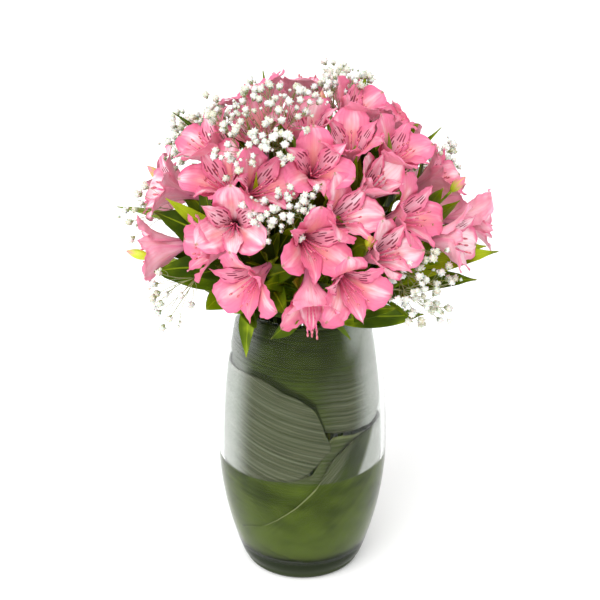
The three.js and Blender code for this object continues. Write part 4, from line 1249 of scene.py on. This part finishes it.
def add_leaf(skin, root, leaving, leaf, corners, settings, rng, tone):
    """One leaf: a blade folded along its midrib, with a few slow waves in its edges."""
    at = np.concatenate([np.linspace(0, 0.9, 22), [0.94, 0.97, 0.988]])
    middle, side, face, half, tip = leaf_line(
        root, leaving, leaf, *fitted_leaf(root, leaving, leaf, corners), at)
    half = half * np.where(at > 0.9, 1 - 0.55 * (at - 0.9) / 0.1, 1)
    phase = rng.uniform(0, 6.28)

    def lift(u):
        wave = 0.07 * np.sin(14 * at[:, None] + phase + 2.0 * (u > 0)) * np.abs(u) ** 2
        return half[:, None] * (0.25 * np.abs(u) ** 1.4 + wave)

    rings, u = blade(middle, side, face, half, lift, settings.thickness / MM, 13)
    skin.add(rings, faces_of(13, LEAF_FACE, LEAF_BACK), tone, blade_uv(u, at), tip=tip)


def add_inner_leaf(skin, curve, seats, settings, rng):
    """A plain leaf deep in the bouquet, which ends among the stalks below the flowers."""
    centre = seats.mean(0) - DOME_CENTRE
    azimuth = math.degrees(math.atan2(centre[0], -centre[1])) + rng.uniform(-42, 42)
    height = math.degrees(math.asin(unit(centre)[2])) + rng.uniform(-38, 26)
    reach = rng.uniform(88, 134 if height > -10 else 106)
    leaf = [azimuth, max(height, -34), reach, rng.uniform(8, 13), rng.uniform(-50, 50)]
    j = rng.integers(4, len(curve) - 1)
    at = np.concatenate([np.linspace(0, 0.92, 12), [0.97]])
    middle, side, face, half, tip = leaf_line(
        curve[j], unit(curve[j + 1] - curve[j]), leaf, rng.uniform(-0.25, 0.25),
        rng.uniform(0.1, 0.4), 0, at)

    def lift(u):
        return half[:, None] * 0.25 * np.abs(u) ** 1.4

    rings, u = blade(middle, side, face, half, lift, settings.thickness / MM, 7)
    skin.add(rings, faces_of(7, LEAF_FACE, LEAF_BACK), rng.uniform(-1.0, 0.2),
             blade_uv(u, at), tip=tip)


class BOUQUET_OT_stems(bpy.types.Operator):
    """Grows the alstroemeria stems with their leaves, stalks and buds"""

    bl_idname = "bouquet.stems"
    bl_label = "Leafy Stems"

    def execute(self, context):
        s = context.scene.bouquet_leaf
        finishes = [stalk_finish("green_stalk", s, 4), stalk_finish("ovary", s, 12),
                    leaf_finish("leaf_face", s, False), leaf_finish("leaf_underside", s, True),
                    bud_finish("closed_bud", s, context.scene.bouquet_bloom.pink)]
        for i, stem in enumerate(STEMS):
            node = f"alstroemeria_stem_{i + 1:02d}"
            corners = node_points(node)
            rng = np.random.default_rng(STEM_SEED + i)
            frames = [bloom_frame(bloom) for bloom in stem["blooms"]]
            seats = np.array([seat for _, seat in frames])
            top, path, leaving = stem_line(stem["mouth"], seats, STEM_ENDS, 12, STEM_STEPS)
            curve = path[-STEM_STEPS - 1:]
            skin = Skin()
            tone = rng.uniform(-0.4, 0.4)
            skin.tube(path, STEM_RADIUS * np.linspace(1, 0.86, len(path)), 12, STALK, tone)
            for turn, seat in frames:
                add_stalk(skin, top, leaving, seat, turn[2], tone)
            for k, leaf in enumerate(stem["leaves"]):
                share = (k + 0.5) / len(stem["leaves"])
                at = STEM_STEPS * (HIGHEST_LEAF + (LOWEST_LEAF - HIGHEST_LEAF) * share)
                j = int(at)
                step = curve[j + 1] - curve[j]
                add_leaf(skin, curve[j] + step * (at - j), unit(step), leaf, corners, s, rng,
                         rng.uniform(-0.7, 0.9))
            for _ in range(s.inner_leaves):
                add_inner_leaf(skin, curve, seats, s, rng)
            for bud in stem["buds"]:
                add_bud(skin, top, leaving, on_dome(*bud), rng.uniform(-0.5, 0.5))
            settle(skin.build(f"{node}_leafy", finishes), node)
        return {"FINISHED"}


# ------------------------------------------------------------------ gypsophila

def random_from(seed):
    """Repeatable numbers from 0 to 1: each state is 16807 times the last, modulo a prime."""
    state = seed
    while True:
        state = state * 16807 % 2147483647
        yield state / 2147483647


def first_heads(spray, seed):
    """The ends of the twigs of each fan: spread evenly about its direction by the golden
    angle, at its distance from the dome's centre, within six millimetres."""
    draw = random_from(seed)
    ends = []
    for f, (azimuth, height, spread, _, distance, count, _) in enumerate(spray["fans"]):
        axis, side = direction(azimuth, height), direction(azimuth + 90, 0)
        up = np.cross(side, axis)
        ways = []
        for i in range(count):
            angle = i * 2.39996 + next(draw) * 0.4
            away = math.tan(math.radians(spread) * math.sqrt((i + 0.3) / count))
            ways.append(unit(axis + side * away * math.cos(angle)
                             + up * away * math.sin(angle)))
        for way in ways:
            ends.append((f, DOME_CENTRE + way * (distance + 10 * (next(draw) - 0.6))))
    return ends


def add_head(skin, centre, axis, radius, rng):
    """A double flower: a ball of four rings whose radius goes in and out from point to
    point, on a small green cup."""
    centre = np.asarray(centre)
    a = unit(np.cross(axis, [0.3, 0.2, 0.93]))
    b = np.cross(axis, a)
    polar = np.radians([148, 112, 74, 38])
    j = np.arange(10)
    angle = j * 2 * np.pi / 10 + rng.uniform(0, 6.28)
    ruffle = 1 + 0.24 * np.where((j[None] + np.arange(4)[:, None]) % 2, 1, -1)
    ruffle = ruffle * radius * rng.uniform(0.86, 1.14, (4, 10))
    across = a * np.cos(angle)[:, None] + b * np.sin(angle)[:, None]
    rings = centre + (across[None] * np.sin(polar)[:, None, None]
                      + axis * np.cos(polar)[:, None, None]) * ruffle[..., None]
    tone = rng.uniform(-1, 1)
    skin.add(rings, PETALS, tone, foot=centre - axis * radius * 0.8,
             tip=centre + axis * radius * 0.62)
    cup = centre - axis * radius * np.array([1.35, 0.8, 0.45])[:, None]
    skin.tube(cup, radius * np.array([0.22, 0.52, 0.72]), 6, TWIG, tone)


def add_twig(skin, start, end, thick, rng, sag):
    """A thin twig with a slight bow."""
    chord = end - start
    bow = np.cross(chord, rng.normal(size=3))
    bow = unit(bow) * np.linalg.norm(chord) * sag
    t = np.linspace(0, 1, 5)[:, None]
    path = start + chord * t + bow * 4 * t * (1 - t)
    skin.tube(path, np.linspace(thick, thick * 0.6, 5), 4, TWIG)
    return path


class BOUQUET_OT_sprays(bpy.types.Operator):
    """Grows the gypsophila sprays"""

    bl_idname = "bouquet.sprays"
    bl_label = "Gypsophila Sprays"

    def execute(self, context):
        s = context.scene.bouquet_spray
        finishes = [petal_ball_finish("gypsophila_petals", s),
                    thread_finish("gypsophila_twig", s.twig, s.twig_dark)]
        head = s.head / MM
        ceiling = CAD_BOX[1][2] / MM - head
        for i, spray in enumerate(SPRAYS):
            node = f"gypsophila_spray_{i + 1:02d}"
            corners = node_points(node)
            rng = np.random.default_rng(SPRAY_SEED + i)
            forks = np.array([on_dome(fan[0], fan[1], fan[3]) for fan in spray["fans"]])
            top, path, leaving = stem_line(spray["mouth"], forks, SPRAY_ENDS, 8, SPRAY_STEPS)
            skin = Skin()
            skin.tube(path, SPRAY_RADIUS, 8, TWIG)
            for fork in forks:
                start = branch_root(top, leaving, fork, SPRAY_RADIUS * 0.5)
                branch = bend(start, leaving, fork, unit(fork - DOME_CENTRE), 12, 0.3)
                skin.tube(branch, np.linspace(0.95, 0.7, 13), 7, TWIG)
            for f, end in first_heads(spray, HEAD_SEED + i):
                sides = spray["fans"][f][6]
                if np.linalg.norm(corners - end, axis=1).min() > TWIG_OFF:
                    if sides < DENSE_FAN:
                        continue
                    sides -= TWIGLESS_FEWER
                end[2] = min(end[2], ceiling)
                path = add_twig(skin, forks[f], end, 0.42, rng, 0.05)
                way = unit(path[-1] - path[-2])
                add_head(skin, end, way, head * rng.uniform(0.9, 1.1), rng)
                for _ in range(round(sides * s.fullness)):
                    share = rng.integers(1, 4)
                    aside = np.cross(way, rng.normal(size=3))
                    place = end + unit(aside) * rng.uniform(6.0, 16) + way * rng.uniform(-5, 8)
                    place[2] = min(place[2], ceiling)
                    add_twig(skin, path[share], place, 0.27, rng, 0.12)
                    size = rng.choice([0.45, 0.75, 1.0, 1.1])
                    add_head(skin, place, unit(place - path[share]), head * size, rng)
            settle(skin.build(f"{node}_flowers", finishes), node)
        return {"FINISHED"}


# ------------------------------------------------------------------ stage

class BOUQUET_OT_stage(bpy.types.Operator):
    """Sets the pale floor, the soft light and the camera"""

    bl_idname = "bouquet.stage"
    bl_label = "Stage"

    def execute(self, context):
        s = context.scene.bouquet_stage
        scene = context.scene
        mesh = bpy.data.meshes.new("stage_floor")
        mesh.from_pydata([(-7, -5, 0), (7, -5, 0), (7, 9, 0), (-7, 9, 0)], [], [(0, 1, 2, 3)])
        mesh.materials.append(floor_finish("pale_floor", s))
        floor = bpy.data.objects.new("stage_floor", mesh)
        scene.collection.objects.link(floor)

        world = bpy.data.worlds.new("white_room")
        world.use_nodes = True
        sky = world.node_tree.nodes["Background"]
        sky.inputs["Color"].default_value = (1, 1, 1, 1)
        sky.inputs["Strength"].default_value = s.sky
        scene.world = world

        key = bpy.data.lights.new("soft_key", "SUN")
        key.energy, key.angle = s.sun, math.radians(48)
        lamp = bpy.data.objects.new("soft_key", key)
        lamp.rotation_euler = (math.radians(38), math.radians(-24), 0)
        scene.collection.objects.link(lamp)

        lens = bpy.data.cameras.new("view")
        lens.lens, lens.sensor_width = s.lens, 36.0
        lens.clip_start, lens.clip_end = 0.05, 40.0
        camera = bpy.data.objects.new("view", lens)
        camera.location = (-0.0021, -1.296, 0.8513)
        camera.rotation_euler = (math.radians(65), 0, 0)
        scene.collection.objects.link(camera)
        scene.camera = camera
        scene.view_settings.view_transform = "Standard"
        return {"FINISHED"}


# ------------------------------------------------------------------ panel and run

class BOUQUET_PT_panel(bpy.types.Panel):
    """Lists the pieces in the 3D view's sidebar"""

    bl_idname = "BOUQUET_PT_panel"
    bl_label = "Alstroemeria Bouquet"
    bl_space_type = "VIEW_3D"
    bl_region_type = "UI"
    bl_category = "Bouquet"

    def draw(self, context):
        for operator in OPERATORS:
            self.layout.operator(operator.bl_idname)
        for group in ("vase", "bloom", "leaf", "spray", "stage"):
            settings = getattr(context.scene, f"bouquet_{group}")
            box = self.layout.box()
            box.label(text=group.title())
            for name in settings.__annotations__:
                box.prop(settings, name)


OPERATORS = [BOUQUET_OT_stage, BOUQUET_OT_vase, BOUQUET_OT_water, BOUQUET_OT_lining,
             BOUQUET_OT_blooms, BOUQUET_OT_stems, BOUQUET_OT_sprays]
GROUPS = {"bouquet_vase": BOUQUET_PG_vase, "bouquet_bloom": BOUQUET_PG_bloom,
          "bouquet_leaf": BOUQUET_PG_leaf, "bouquet_spray": BOUQUET_PG_spray,
          "bouquet_stage": BOUQUET_PG_stage}


def register():
    """Registers the classes and hangs the settings on the scene."""
    for cls in [*GROUPS.values(), *OPERATORS, BOUQUET_PT_panel]:
        bpy.utils.register_class(cls)
    for name, group in GROUPS.items():
        setattr(bpy.types.Scene, name, bpy.props.PointerProperty(type=group))


def unregister():
    """Takes the settings and the classes away again."""
    for name in GROUPS:
        delattr(bpy.types.Scene, name)
    for cls in reversed([*GROUPS.values(), *OPERATORS, BOUQUET_PT_panel]):
        bpy.utils.unregister_class(cls)


def main():
    """Builds everything in order."""
    register()
    for operator in OPERATORS:
        group, name = operator.bl_idname.split(".")
        getattr(getattr(bpy.ops, group), name)()


if __name__ == "__main__":
    main()
